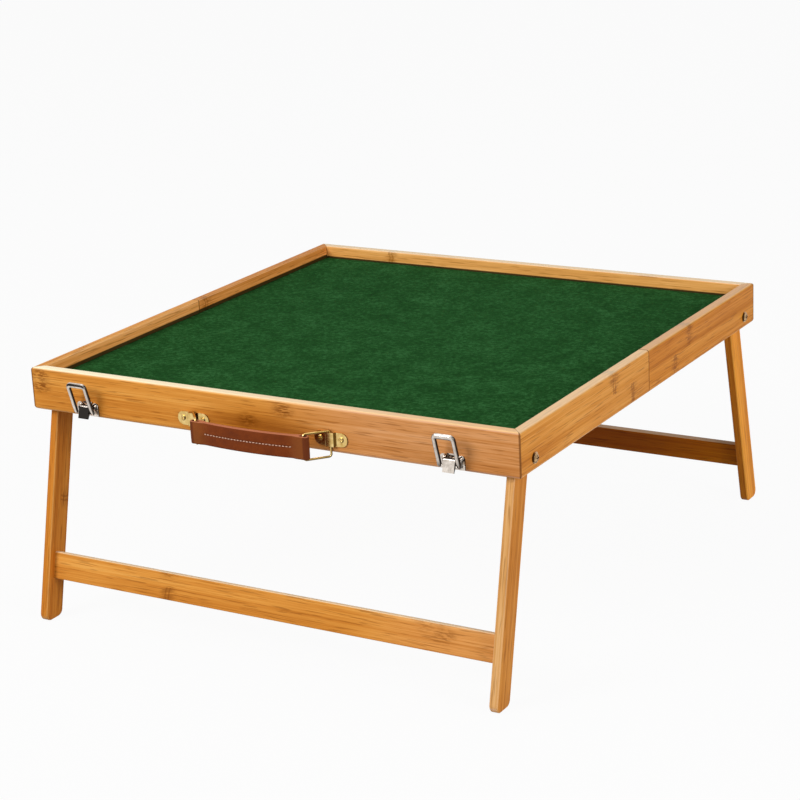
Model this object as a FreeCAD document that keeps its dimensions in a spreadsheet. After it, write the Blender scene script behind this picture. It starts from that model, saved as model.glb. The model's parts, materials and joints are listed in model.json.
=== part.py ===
import FreeCAD, Part
import math
import os
import re

import Sketcher

# A folding game table that closes into a carrying case.
# Two half trays are hinged under their seam, with a felt playing field sunk between bamboo rails.
# Each half carries a folding leg frame. The front rail has a strap handle and two draw latches.
# Frame: X runs along the seam, -Y is the front, Z is up, and the feet stand on Z = 0 around the origin.

# Driving sizes in millimetres and degrees.
SIZES = {
    # the open table
    "table_width": 600.0,
    "table_depth": 600.0,
    "stand_height": 234.0,
    "seam_gap": 0.3,
    # rails, with their rounded edges and the groove that holds the board
    "rail_height": 48.0,
    "rail_thick": 12.0,
    "rail_top_round": 3.0,
    "rail_bottom_round": 4.5,
    "rail_inner_round": 1.5,
    "hinge_rail_thick": 12.0,
    "groove_depth": 4.0,
    "groove_clear": 0.1,
    # board and felt
    "felt_recess": 15.0,
    "felt_thick": 1.5,
    "felt_clear": 0.2,
    "board_thick": 3.0,
    # leg frames
    "leg_width": 27.6,
    "leg_thick": 9.5,
    "leg_gap": 1.0,
    "leg_splay": 13.3,
    "leg_ease": 1.0,
    "foot_round": 8.0,
    "pivot_rise": 14.05,
    "stop_gap": 0.3,
    "stretcher_width": 30.0,
    "stretcher_thick": 8.0,
    "stretcher_rise": 45.1,
    "stretcher_setback": 9.0,
    "stretcher_ease": 1.2,
    "tenon_length": 7.0,
    "tenon_width": 22.0,
    "tenon_thick": 4.6,
    "tenon_clear": 0.1,
    # pivot bolts, washers and nuts
    "bolt_dia": 5.0,
    "bolt_fit": 0.06,
    "bolt_head_dia": 10.0,
    "bolt_head_rise": 2.8,
    "bolt_tail": 1.5,
    "bolt_recess": 1.2,
    "washer_dia": 12.0,
    "washer_thick": 0.9,
    "nut_width": 8.0,
    "nut_thick": 5.0,
    # butt hinges
    "hinge_inset": 120.0,
    "leaf_length": 40.0,
    "leaf_width": 10.5,
    "leaf_thick": 1.2,
    "leaf_clear": 0.1,
    "knuckle_dia": 4.4,
    "knuckle_gap": 0.25,
    "knuckle_clear": 0.5,
    "hinge_pin_dia": 2.4,
    "hinge_pin_fit": 0.05,
    "leaf_screw_spread": 12.0,
    "leaf_screw_reach": 6.6,
    "leaf_screw_dia": 2.0,
    "leaf_screw_head": 4.0,
    "leaf_screw_length": 9.0,
    # screws of the latches, catches and handle
    "screw_dia": 2.4,
    "screw_length": 9.0,
    "screw_head_dia": 5.6,
    "screw_head_rise": 1.5,
    "screw_recess": 0.8,
    "screw_fit": 0.05,
    # draw latches
    "latch_inset": 75.0,
    "latch_width": 28.0,
    "latch_low": 2.0,
    "latch_high": 17.0,
    "latch_middle_high": 18.0,
    "latch_plate": 1.0,
    "latch_tab": 8.0,
    "latch_screw_rise": 12.0,
    "latch_screw_head": 4.2,
    "latch_pivot_out": 5.0,
    "latch_pivot_rise": 12.5,
    "latch_ear_thick": 0.8,
    "latch_ear_round": 2.4,
    "latch_pin_dia": 2.0,
    "latch_pin_fit": 0.06,
    "latch_side_gap": 0.3,
    "lever_width": 13.0,
    "lever_length": 12.5,
    "lever_eye": 2.6,
    "lever_wall": 1.2,
    "lever_lean": 15.0,
    "loop_pivot_drop": 6.0,
    "loop_pivot_out": 0.6,
    "loop_width": 26.0,
    "loop_length": 37.0,
    "loop_bar": 4.0,
    "loop_top_bar": 5.0,
    "loop_thick": 1.8,
    "loop_roll": 1.6,
    "loop_corner": 4.0,
    "loop_window_corner": 2.2,
    "loop_lean": 17.0,
    # catches on the rear rail
    "catch_width": 26.0,
    "catch_low": 4.0,
    "catch_high": 13.2,
    "catch_plate": 1.2,
    "catch_corner": 3.0,
    "catch_hook_width": 12.0,
    "catch_hook_out": 7.0,
    "catch_hook_rise": 4.0,
    "catch_screw_spread": 9.5,
    # strap handle
    "saddle_spacing": 170.0,
    "saddle_rise": 15.2,
    "saddle_length": 39.0,
    "saddle_height": 15.0,
    "saddle_bridge": 10.4,
    "saddle_plate": 1.2,
    "saddle_end_round": 7.2,
    "saddle_round": 1.0,
    "saddle_screw_spread": 12.5,
    "ring_wire": 2.4,
    "ring_clear": 0.3,
    "ring_length": 28.7,
    "ring_swing": 48.5,
    "strap_height": 24.5,
    "strap_thick": 4.6,
    "strap_wall": 2.0,
    "strap_slack": 2.6,
    "strap_room": 0.6,
    "strap_shoulder": 6.0,
    # every cut runs past its piece by this much
    "overrun": 2.0,
}

# Places worked out from the driving sizes, in the order in which they are needed.
PLACES = {
    "half_width": "table_width / 2",
    "half_depth": "table_depth / 2",
    "seam": "seam_gap / 2",
    "inner_x": "half_width - rail_thick",
    "inner_y": "half_depth - rail_thick",
    "rail_low": "stand_height",
    "rail_top": "rail_low + rail_height",
    "felt_top": "rail_top - felt_recess",
    "board_top": "felt_top - felt_thick",
    "board_low": "board_top - board_thick",
    "groove_low": "board_low - groove_clear",
    "groove_top": "board_top + groove_clear",
    "hinge_rail_y": "seam + hinge_rail_thick",
    # the splayed leg rests on the rounded lower edge of the end rail, which sets its pivot
    "stop_reach": "leg_width / 2 + rail_inner_round + stop_gap"
                  " + (pivot_rise - rail_inner_round) * sin(leg_splay)",
    "pivot_y": "inner_y + rail_inner_round - stop_reach / cos(leg_splay)",
    "pivot_z": "rail_low + pivot_rise",
    "leg_out": "inner_x - leg_gap",
    "leg_in": "leg_out - leg_thick",
    "foot_slope": "leg_width / 2 * sin(leg_splay)",
    "toe_drop": "(pivot_z + foot_slope) / cos(leg_splay)",
    "heel_drop": "(pivot_z - foot_slope) / cos(leg_splay)",
    "toe_cut": "foot_round / tan((90 - leg_splay) / 2)",
    "heel_cut": "foot_round / tan((90 + leg_splay) / 2)",
    "stretcher_low": "(pivot_z - stretcher_rise) / cos(leg_splay)",
    "stretcher_high": "stretcher_low - stretcher_width",
    "stretcher_front": "leg_width / 2 - stretcher_setback",
    "stretcher_mid": "stretcher_front - stretcher_thick / 2",
    "stretcher_level": "(stretcher_low + stretcher_high) / 2",
    "hinge_x": "half_width - hinge_inset",
    "bolt_radius": "bolt_dia / 2",
    "bolt_bore": "bolt_radius + bolt_fit",
    "bolt_seat": "half_width + washer_thick",
    "nut_seat": "leg_in - leg_gap",
    "bolt_end": "nut_seat - nut_thick - bolt_tail",
    "knuckle_radius": "knuckle_dia / 2",
    "knuckle_relief": "knuckle_radius + knuckle_clear",
    "knuckle_third": "leaf_length / 6",
    "latch_x": "half_width - latch_inset",
    "latch_ear_in": "lever_width / 2 + latch_side_gap",
    "latch_ear_out": "latch_ear_in + latch_ear_thick",
    "latch_pivot_y": "half_depth + latch_pivot_out",
    "latch_pivot_z": "rail_low + latch_pivot_rise",
    "latch_screw_spread": "latch_width / 2 - latch_tab / 2",
    "loop_y": "latch_pivot_y + loop_pivot_out * cos(lever_lean) + loop_pivot_drop * sin(lever_lean)",
    "loop_z": "latch_pivot_z + loop_pivot_out * sin(lever_lean) - loop_pivot_drop * cos(lever_lean)",
    "loop_half": "loop_width / 2",
    "loop_inner": "loop_half - loop_bar",
    "loop_pin_in": "lever_width / 2 - lever_wall + latch_pin_fit",
    "catch_screw_z": "rail_low + (catch_low + catch_high - catch_plate) / 2",
    "saddle_x": "saddle_spacing / 2",
    "saddle_z": "rail_low + saddle_rise",
    "saddle_top": "saddle_z + saddle_height / 2",
    "ring_radius": "ring_wire / 2",
    "ring_pivot_y": "half_depth + ring_radius + ring_clear",
    "saddle_inside": "ring_wire + 2 * ring_clear",
    "saddle_room": "saddle_bridge / 2 - saddle_plate",
    "ring_rise": "strap_height + 2 * ring_clear + ring_wire",
    "ring_z": "saddle_top + ring_clear + ring_radius - ring_rise / 2",
    "strap_y": "ring_pivot_y + ring_length * sin(ring_swing)",
    "strap_bar_x": "saddle_x - ring_length * cos(ring_swing)",
    "slot_half": "ring_radius + strap_room",
    "slot_in": "strap_bar_x - strap_slack - slot_half",
    "slot_out": "strap_bar_x + strap_slack + slot_half",
    "strap_end": "slot_out + strap_wall",
    "strap_half": "strap_thick / 2",
    "strap_bulge": "slot_half + strap_wall",
}

# The rim's share of a screw head's height, and the flat top's share of a bevelled head's width.
RIM_SHARE = 0.35
FLAT_TOP_SHARE = 0.7

# How much of a screw head's width its cross recess takes.
RECESS_LENGTH_SHARE = 0.56
RECESS_WIDTH_SHARE = 0.14

# An edge counts as flat when it strays from its plane by less than this share of its length.
FLAT_SHARE = 0.001

FRONT = -1
REAR = 1
LEFT = -1
RIGHT = 1
ENDS = {"front": FRONT, "rear": REAR}
SIDES = {"left": LEFT, "right": RIGHT}
PLANES = {"x": "YZ_Plane", "y": "XZ_Plane", "z": "XY_Plane"}

doc = FreeCAD.newDocument("folding_game_table")
sheet = doc.addObject("Spreadsheet::Sheet", "dims")
subparts = []


def fill_sheet():
    """Write the driving sizes as plain numbers and the places as formulas, each with its alias."""
    texts = {name: str(size) for name, size in SIZES.items()}
    texts.update({name: "=" + formula for name, formula in PLACES.items()})
    for row, (name, text) in enumerate(texts.items(), start=1):
        sheet.set(f"A{row}", name)
        sheet.set(f"B{row}", text)
        sheet.setAlias(f"B{row}", name)
    doc.recompute()


def cells(formula):
    """The formula with every named size written as a cell of the sheet."""
    def cell(word):
        name = word.group(0)
        return f"dims.{name}" if name in SIZES or name in PLACES else name

    return re.sub(r"[a-z][a-z_]*", cell, formula)


def value(formula):
    """What a formula comes to now."""
    return float(sheet.evalExpression(cells(formula)))


def bind(thing, **formulas):
    """Tie properties of an object to formulas."""
    for name, formula in formulas.items():
        thing.setExpression(name, cells(formula))


def minus(formula):
    return f"-({formula})"


def times(sign, formula):
    """The formula on the side that the sign gives."""
    return formula if sign > 0 else minus(formula)


# Outlines

def arc_centre(start, end, radius, turn):
    """The centre of the short arc between two points; turn is 1 for anticlockwise and -1 for clockwise."""
    along = end - start
    rise = math.sqrt(max(radius ** 2 - along.Length ** 2 / 4, 0.0))
    left = FreeCAD.Vector(-along.y, along.x, 0).normalize()
    return start + along / 2 + left * (rise * turn)


def draw_outline(sketch, outline):
    """Close one outline in a sketch, with both coordinates of every corner bound.

    An outline is a list of (u, v), or (u, v, radius, turn) where an arc leads to that corner.
    """
    first = sketch.GeometryCount
    corners = [FreeCAD.Vector(value(step[0]), value(step[1]), 0) for step in outline]
    shapes = []
    for index, step in enumerate(outline):
        start, end = corners[index - 1], corners[index]
        if len(step) == 2:
            shapes.append(Part.LineSegment(start, end))
            continue
        radius, turn = value(step[2]), step[3]
        centre = arc_centre(start, end, radius, turn)
        begin, finish = (start, end) if turn > 0 else (end, start)
        circle = Part.Circle(centre, FreeCAD.Vector(0, 0, 1), radius)
        shapes.append(Part.ArcOfCircle(circle, circle.parameter(begin), circle.parameter(finish)))
    sketch.addGeometry(shapes, False)

    def end_of(index):
        """The sketch's numbers for the far and near ends of a step."""
        clockwise = len(outline[index]) == 4 and outline[index][3] < 0
        return (1, 2) if clockwise else (2, 1)

    constraints, formulas = [], []
    for index, step in enumerate(outline):
        after = (index + 1) % len(outline)
        far, near = end_of(index)[0], end_of(after)[1]
        constraints.append(Sketcher.Constraint("Coincident", first + index, far, first + after, near))
        formulas.append(None)
        for kind, formula in zip(("DistanceX", "DistanceY"), step):
            constraints.append(Sketcher.Constraint(kind, -1, 1, first + index, far, value(formula)))
            formulas.append(formula)
        if len(step) == 4:
            constraints.append(Sketcher.Constraint("Radius", first + index, value(step[2])))
            formulas.append(step[2])
    add_constraints(sketch, constraints, formulas)


def draw_circle(sketch, u, v, radius):
    """A circle in a sketch with its centre and radius bound."""
    number = sketch.GeometryCount
    centre = FreeCAD.Vector(value(u), value(v), 0)
    sketch.addGeometry(Part.Circle(centre, FreeCAD.Vector(0, 0, 1), value(radius)), False)
    constraints = [
        Sketcher.Constraint("DistanceX", -1, 1, number, 3, value(u)),
        Sketcher.Constraint("DistanceY", -1, 1, number, 3, value(v)),
        Sketcher.Constraint("Radius", number, value(radius)),
    ]
    add_constraints(sketch, constraints, [u, v, radius])


def add_constraints(sketch, constraints, formulas):
    start = sketch.ConstraintCount
    sketch.addConstraint(constraints)
    for offset, formula in enumerate(formulas):
        if formula is not None:
            sketch.setExpression(f"Constraints[{start + offset}]", cells(formula))


def rectangle(low_u, high_u, low_v, high_v):
    return [(low_u, low_v), (high_u, low_v), (high_u, high_v), (low_u, high_v)]


def rounded(low_u, high_u, low_v, high_v, radius):
    """A rectangle with four rounded corners."""
    near_u, far_u = f"{low_u} + {radius}", f"{high_u} - {radius}"
    near_v, far_v = f"{low_v} + {radius}", f"{high_v} - {radius}"
    return [
        (near_u, low_v, radius, 1), (far_u, low_v),
        (high_u, near_v, radius, 1), (high_u, far_v),
        (far_u, high_v, radius, 1), (near_u, high_v),
        (low_u, far_v, radius, 1), (low_u, near_v),
    ]


def around(middle, half):
    """The low and high ends of a span about its middle."""
    return f"{middle} - ({half})", f"{middle} + ({half})"


# Solids

def new_body(label):
    return doc.addObject("PartDesign::Body", label)


def new_sketch(body, axis, offset):
    """A sketch square to an axis of the body, at an offset along it."""
    sketch = body.newObject("Sketcher::SketchObject", f"{body.Name}_outline")
    plane = next(item for item in body.Origin.OriginFeatures if item.Role == PLANES[axis])
    sketch.AttachmentSupport = (plane, [""])
    sketch.MapMode = "FlatFace"
    sketch.setExpression("AttachmentOffset.Base.z", cells(offset))
    return sketch


def draw(sketch, *shapes):
    for shape in shapes:
        if isinstance(shape, tuple):
            draw_circle(sketch, *shape)
        else:
            draw_outline(sketch, shape)


def pad(body, axis, low, high, *shapes):
    """Add the outlines, drawn square to an axis, between two places along it."""
    sketch = new_sketch(body, axis, minus(high) if axis == "y" else low)
    draw(sketch, *shapes)
    feature = body.newObject("PartDesign::Pad", f"{body.Name}_pad")
    feature.Profile = sketch
    bind(feature, Length=f"{high} - ({low})")
    return feature


def pocket(body, axis, low, high, *shapes):
    """Cut the outlines, drawn square to an axis, between two places along it."""
    doc.recompute()
    before = body.Shape.Volume
    sketch = new_sketch(body, axis, minus(low) if axis == "y" else high)
    draw(sketch, *shapes)
    feature = body.newObject("PartDesign::Pocket", f"{body.Name}_pocket")
    feature.Profile = sketch
    bind(feature, Length=f"{high} - ({low})")
    doc.recompute()
    if body.Shape.Volume >= before:
        raise RuntimeError(f"a pocket of {body.Label} cuts nothing")
    return feature


def spin(body, outline):
    """Turn an outline of radius and height about the body's Z axis."""
    sketch = new_sketch(body, "y", "0")
    draw(sketch, outline)
    feature = body.newObject("PartDesign::Revolution", f"{body.Name}_turning")
    feature.Profile = sketch
    feature.ReferenceAxis = (sketch, ["V_Axis"])
    feature.Angle = 360
    return feature


def pick_edges(body, wanted):
    """The body's last feature, and the names of those of its edges that a test picks out."""
    doc.recompute()
    base = body.Tip
    names = [f"Edge{number}" for number, edge in enumerate(base.Shape.Edges, start=1) if wanted(edge)]
    if not names:
        raise RuntimeError(f"no edge of {body.Label} is picked for easing")
    return base, names


def round_edges(body, radius, wanted):
    edges = pick_edges(body, wanted)
    feature = body.newObject("PartDesign::Fillet", f"{body.Name}_round")
    feature.Base = edges
    bind(feature, Radius=radius)


def bevel_edges(body, size, wanted):
    edges = pick_edges(body, wanted)
    feature = body.newObject("PartDesign::Chamfer", f"{body.Name}_bevel")
    feature.Base = edges
    bind(feature, Size=size)


def place(thing, x="0", y="0", z="0", axis=(0, 0, 1), turn="0"):
    """Set a piece at bound coordinates, turned about an axis by a bound angle."""
    rotation = FreeCAD.Rotation(FreeCAD.Vector(*axis), value(turn))
    thing.Placement = FreeCAD.Placement(FreeCAD.Vector(), rotation)
    for name, formula in (("x", x), ("y", y), ("z", z)):
        thing.setExpression(f"Placement.Base.{name}", cells(formula))
    if turn != "0":
        thing.setExpression("Placement.Rotation.Angle", cells(turn))
    return thing


def keep(piece):
    """Count a finished piece among the sub-parts."""
    subparts.append(piece)
    return piece


def keep_group(label, pieces):
    """Count several equal pieces as one sub-part of separate solids."""
    group = doc.addObject("Part::Compound", label)
    group.Links = pieces
    return keep(group)


# Fasteners

OUTWARD = {
    "front": ((1, 0, 0), "90"),
    "rear": ((-1, 0, 0), "90"),
    "right": ((0, 1, 0), "90"),
    "left": ((0, -1, 0), "90"),
    "down": ((1, 0, 0), "180"),
}


def cross_screw(name, head_dia, head_rise, shank_dia, shank_length, recess, domed=False):
    """A screw standing on Z = 0 with a bevelled or domed head, a cross recess and a plain shank."""
    body = new_body(name)
    head, shank = f"{head_dia} / 2", f"{shank_dia} / 2"
    rim = f"{head_rise} * {RIM_SHARE}"
    if domed:
        crown = f"({head_rise} - {rim})"
        dome = f"(({head}) ^ 2 + {crown} ^ 2) / (2 * {crown})"
        top = [("0", head_rise, dome, 1)]
    else:
        top = [(f"{head} * {FLAT_TOP_SHARE}", head_rise), ("0", head_rise)]
    spin(body, [
        ("0", minus(shank_length)), (shank, minus(shank_length)),
        (shank, "0"), (head, "0"), (head, rim), *top,
    ])
    arm = f"{head_dia} * {RECESS_LENGTH_SHARE} / 2"
    half = f"{head_dia} * {RECESS_WIDTH_SHARE} / 2"
    cross = [
        (half, half), (half, arm), (minus(half), arm),
        (minus(half), half), (minus(arm), half), (minus(arm), minus(half)),
        (minus(half), minus(half)), (minus(half), minus(arm)), (half, minus(arm)),
        (half, minus(half)), (arm, minus(half)), (arm, half),
    ]
    pocket(body, "z", f"{head_rise} - {recess}", f"{head_rise} + overrun", cross)
    return body


def small_screw(name, outward, x, y, z, head="screw_head_dia"):
    axis, turn = OUTWARD[outward]
    screw = cross_screw(name, head, "screw_head_rise", "screw_dia", "screw_length", "screw_recess")
    return place(screw, x, y, z, axis, turn)


def leaf_screw(name, x, y):
    """A flush countersunk screw driven up through a hinge leaf."""
    body = new_body(name)
    head, shank = "leaf_screw_head / 2", "leaf_screw_dia / 2"
    spin(body, [
        ("0", minus("leaf_screw_length")), (shank, minus("leaf_screw_length")),
        (shank, minus("leaf_thick")), (head, "0"), ("0", "0"),
    ])
    axis, turn = OUTWARD["down"]
    return place(body, x, y, "rail_low", axis, turn)


def screw_hole(x, z):
    return (x, z, "screw_dia / 2 + screw_fit")


# Rails, boards and felt

def rail_section(sign, half):
    """A rail's section: outer edges well rounded, inner edges eased, and the board's groove inside."""
    turn = -sign

    def across(inset):
        return times(sign, f"({half} - ({inset}))")

    top, bottom, inner = "rail_top_round", "rail_bottom_round", "rail_inner_round"
    return [
        (across(bottom), "rail_low", bottom, turn),
        (across(f"rail_thick - {inner}"), "rail_low"),
        (across("rail_thick"), f"rail_low + {inner}", inner, turn),
        (across("rail_thick"), "groove_low"),
        (across("rail_thick - groove_depth"), "groove_low"),
        (across("rail_thick - groove_depth"), "groove_top"),
        (across("rail_thick"), "groove_top"),
        (across("rail_thick"), f"rail_top - {inner}"),
        (across(f"rail_thick - {inner}"), "rail_top", inner, turn),
        (across(top), "rail_top"),
        (across("0"), f"rail_top - {top}", top, turn),
        (across("0"), f"rail_low + {bottom}"),
    ]


def mitre(side, end, corner_x, corner_y):
    """The wedge beyond the mitre line of one corner, on the side of the third corner given."""
    past = "(rail_thick + overrun)"
    return [
        (times(side, "(half_width + overrun)"), times(end, "(half_depth + overrun)")),
        (times(side, f"(half_width - {past})"), times(end, f"(half_depth - {past})")),
        (times(side, corner_x), times(end, corner_y)),
    ]


def end_rail(name, end):
    rail = new_body(f"{name}_end_rail")
    pad(rail, "x", "-half_width", "half_width", rail_section(end, "half_depth"))
    for side in SIDES.values():
        wedge = mitre(side, end, "(half_width + overrun)", "(half_depth - rail_thick - overrun)")
        pocket(rail, "z", "rail_low - overrun", "rail_top + overrun", wedge)
    if end == FRONT:
        holes = [screw_hole(x, z) for x, z in latch_screw_places() + saddle_screw_places()]
    else:
        holes = [screw_hole(x, z) for x, z in catch_screw_places()]
    face, tip = times(end, "half_depth + overrun"), times(end, "half_depth - screw_length")
    pocket(rail, "y", *sorted((face, tip), key=value), *holes)
    keep(rail)


def side_rail(name, end, side_name, side):
    rail = new_body(f"{name}_{side_name}_rail")
    low, high = sorted((times(end, "half_depth"), times(end, "seam")), key=value)
    pad(rail, "y", low, high, rail_section(side, "half_width"))
    wedge = mitre(side, end, "(half_width - rail_thick - overrun)", "(half_depth + overrun)")
    pocket(rail, "z", "rail_low - overrun", "rail_top + overrun", wedge)
    low, high = sorted((times(side, "half_width + overrun"), times(side, "inner_x - overrun")), key=value)
    pocket(rail, "x", low, high, (times(end, "pivot_y"), "pivot_z", "bolt_bore"))
    keep(rail)


def hinge_rail(name, end):
    """The rail under the seam, with a mortise for each hinge leaf and room for its knuckles."""
    rail = new_body(f"{name}_hinge_rail")

    def depth(near, far):
        return sorted((times(end, near), times(end, far)), key=value)

    pad(rail, "x", "-inner_x", "inner_x",
        rectangle(*depth("seam", "hinge_rail_y"), "rail_low", "board_low"))
    leaf_y = depth("0", "leaf_width + leaf_clear")
    relief_y = depth("-overrun", "knuckle_relief")
    reach = "leaf_length / 2 + leaf_clear"
    mortises, reliefs, holes = [], [], []
    for side in SIDES.values():
        low_x, high_x = around(times(side, "hinge_x"), reach)
        mortises.append(rectangle(low_x, high_x, *leaf_y))
        reliefs.append(rectangle(low_x, high_x, *relief_y))
        for x in leaf_screw_places(side):
            holes.append((x, times(end, "leaf_screw_reach"), "leaf_screw_dia / 2 + screw_fit"))
    pocket(rail, "z", "rail_low - overrun", "rail_low + leaf_thick", *mortises)
    pocket(rail, "z", "rail_low - overrun", "rail_low + knuckle_relief", *reliefs)
    pocket(rail, "z", "rail_low - overrun", "rail_low + leaf_screw_length", *holes)
    keep(rail)


def board(name, end):
    """A board let into the grooves on three sides and lying on the hinge rail on the fourth."""
    panel = new_body(f"{name}_board")
    reach = "groove_depth - groove_clear"
    half = f"inner_x + {reach}"
    low, high = sorted((times(end, f"(inner_y + {reach})"), times(end, "seam")), key=value)
    pad(panel, "z", "board_low", "board_top", rectangle(minus(half), half, low, high))
    keep(panel)


def felt(name, end):
    cloth = new_body(f"{name}_felt")
    half = "inner_x - felt_clear"
    low, high = sorted((times(end, "(inner_y - felt_clear)"), times(end, "seam")), key=value)
    pad(cloth, "z", "board_top", "felt_top", rectangle(minus(half), half, low, high))
    keep(cloth)


# Leg frames

def lean(end):
    """The axis about which an upright leg turns to splay outwards at its end of the table."""
    return (end, 0, 0)


def leg(name, end, side_name, side):
    """A leg about its pivot: a round top, a level foot with rounded corners, and the stretcher's mortise."""
    piece = new_body(f"{name}_{side_name}_leg")
    half = "leg_width / 2"
    turn = -end

    def out(reach):
        return times(end, reach)

    slope_y, slope_z = "cos(leg_splay)", "sin(leg_splay)"
    outline = [
        (out(half), "0", half, turn),
        (out(half), "toe_cut - toe_drop"),
        (out(f"{half} - toe_cut * {slope_y}"), f"toe_cut * {slope_z} - toe_drop", "foot_round", turn),
        (out(f"heel_cut * {slope_y} - {half}"), f"-heel_cut * {slope_z} - heel_drop"),
        (out(minus(half)), "heel_cut - heel_drop", "foot_round", turn),
        (out(minus(half)), "0"),
        ("0", half, half, turn),
    ]
    low, high = sorted((times(side, "leg_out"), times(side, "leg_in")), key=value)
    pad(piece, "x", low, high, outline)
    bevel_edges(piece, "leg_ease", lambda edge: is_across(edge, "x"))
    mortise_y = sorted(around(out("stretcher_mid"), "tenon_thick / 2 + tenon_clear"), key=value)
    mortise_z = around("-stretcher_level", "tenon_width / 2 + tenon_clear")
    deep, open_x = times(side, "(leg_in + tenon_length + tenon_clear)"), times(side, "(leg_in - overrun)")
    pocket(piece, "x", *sorted((deep, open_x), key=value), rectangle(*mortise_y, *mortise_z))
    low, high = sorted((times(side, "leg_out + overrun"), times(side, "leg_in - overrun")), key=value)
    pocket(piece, "x", low, high, ("0", "0", "bolt_bore"))
    keep(place(piece, y=times(end, "pivot_y"), z="pivot_z", axis=lean(end), turn="leg_splay"))


def is_across(edge, axis):
    """Whether an edge lies wholly in a plane square to an axis."""
    box = edge.BoundBox
    return {"x": box.XLength, "y": box.YLength, "z": box.ZLength}[axis] < edge.Length * FLAT_SHARE


def stretcher(name, end):
    """The cross bar of a leg frame, with a tenon at each end."""
    bar = new_body(f"{name}_stretcher")
    bar_y = sorted(around(times(end, "stretcher_mid"), "stretcher_thick / 2"), key=value)
    bar_z = "-stretcher_low", "-stretcher_high"
    pad(bar, "x", "-leg_in", "leg_in", rounded(*bar_y, *bar_z, "stretcher_ease"))
    tenon_y = sorted(around(times(end, "stretcher_mid"), "tenon_thick / 2"), key=value)
    tenon_z = around("-stretcher_level", "tenon_width / 2")
    pad(bar, "x", "-(leg_in + tenon_length)", "leg_in + tenon_length", rectangle(*tenon_y, *tenon_z))
    keep(place(bar, y=times(end, "pivot_y"), z="pivot_z", axis=lean(end), turn="leg_splay"))


def pivot_hardware(name, end):
    """Bolts, washers and lock nuts on which a leg frame turns."""
    bolts, washers, nuts = [], [], []
    spot = {"y": times(end, "pivot_y"), "z": "pivot_z"}
    for side_name, side in SIDES.items():
        axis, turn = OUTWARD[side_name]
        label = f"{name}_{side_name}"
        bolt = cross_screw(f"{label}_bolt", "bolt_head_dia", "bolt_head_rise", "bolt_dia",
                           "(bolt_seat - bolt_end)", "bolt_recess", domed=True)
        bolts.append(place(bolt, x=times(side, "bolt_seat"), axis=axis, turn=turn, **spot))
        for index, low in enumerate(("half_width", "leg_out", "leg_in - leg_gap")):
            washer = new_body(f"{label}_washer_{index}")
            pad(washer, "z", "0", "washer_thick", ("0", "0", "washer_dia / 2"), ("0", "0", "bolt_bore"))
            washers.append(place(washer, x=times(side, f"({low})"), axis=axis, turn=turn, **spot))
        nut = new_body(f"{label}_nut")
        pad(nut, "z", minus("nut_thick"), "0", hexagon("nut_width / 2"), ("0", "0", "bolt_bore"))
        nuts.append(place(nut, x=times(side, "nut_seat"), axis=axis, turn=turn, **spot))
    keep_group(f"{name}_pivot_bolts", bolts)
    keep_group(f"{name}_pivot_washers", washers)
    keep_group(f"{name}_pivot_nuts", nuts)


def hexagon(flat):
    """A hexagon from the distance of its flats."""
    corner = f"({flat}) / cos(30)"
    return [(f"{corner} * cos({angle})", f"{corner} * sin({angle})") for angle in range(0, 360, 60)]


# Butt hinges

def leaf_screw_places(side):
    return [f"{times(side, 'hinge_x')} {sign} leaf_screw_spread" for sign in "-+"]


def hinge_leaf(name, end, side_name, side):
    """A leaf and its knuckles: the front leaf has the two outer ones and the rear leaf the middle one."""
    leaf = new_body(f"hinge_{name}_leaf_{side_name}")
    middle = times(side, "hinge_x")
    low_x, high_x = around(middle, "leaf_length / 2")
    third = f"knuckle_third + {FRONT * end} * knuckle_gap / 2"
    inner_low, inner_high = around(middle, third)
    far, clear = times(end, "leaf_width"), times(end, "knuckle_relief")
    outer_reach, inner_reach = ("0", clear) if end == FRONT else (clear, "0")
    pad(leaf, "z", "rail_low", "rail_low + leaf_thick", [
        (low_x, far), (low_x, outer_reach), (inner_low, outer_reach), (inner_low, inner_reach),
        (inner_high, inner_reach), (inner_high, outer_reach), (high_x, outer_reach), (high_x, far),
    ])
    spans = [(low_x, inner_low), (inner_high, high_x)] if end == FRONT else [(inner_low, inner_high)]
    for low, high in spans:
        pad(leaf, "x", low, high, ("0", "rail_low", "knuckle_radius"))
    pocket(leaf, "x", f"{low_x} - overrun", f"{high_x} + overrun",
           ("0", "rail_low", "hinge_pin_dia / 2 + hinge_pin_fit"))
    for x in leaf_screw_places(side):
        sink = leaf.newObject("PartDesign::SubtractiveCone", f"{leaf.Name}_sink")
        bind(sink, Radius1="leaf_screw_head / 2 + screw_fit", Radius2="leaf_screw_dia / 2 + screw_fit",
             Height="leaf_thick")
        place(sink, x=x, y=times(end, "leaf_screw_reach"), z="rail_low")
    keep(leaf)


def hinges():
    for name, end in ENDS.items():
        screws = []
        for side_name, side in SIDES.items():
            hinge_leaf(name, end, side_name, side)
            for index, x in enumerate(leaf_screw_places(side)):
                screw = f"hinge_{name}_{side_name}_screw_{index}"
                screws.append(leaf_screw(screw, x, times(end, "leaf_screw_reach")))
        keep_group(f"hinge_{name}_screws", screws)
    for side_name, side in SIDES.items():
        pin = doc.addObject("Part::Cylinder", f"hinge_pin_{side_name}")
        bind(pin, Radius="hinge_pin_dia / 2", Height="leaf_length")
        start = f"{times(side, 'hinge_x')} - leaf_length / 2"
        keep(place(pin, x=start, z="rail_low", axis=(0, 1, 0), turn="90"))


# Draw latches and catches

def latch_screw_places():
    return [(f"{times(side, 'latch_x')} {sign} latch_screw_spread", "rail_low + latch_screw_rise")
            for side in SIDES.values() for sign in "-+"]


def catch_screw_places():
    return [(f"{times(side, 'latch_x')} {sign} catch_screw_spread", "catch_screw_z")
            for side in SIDES.values() for sign in "-+"]


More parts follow.
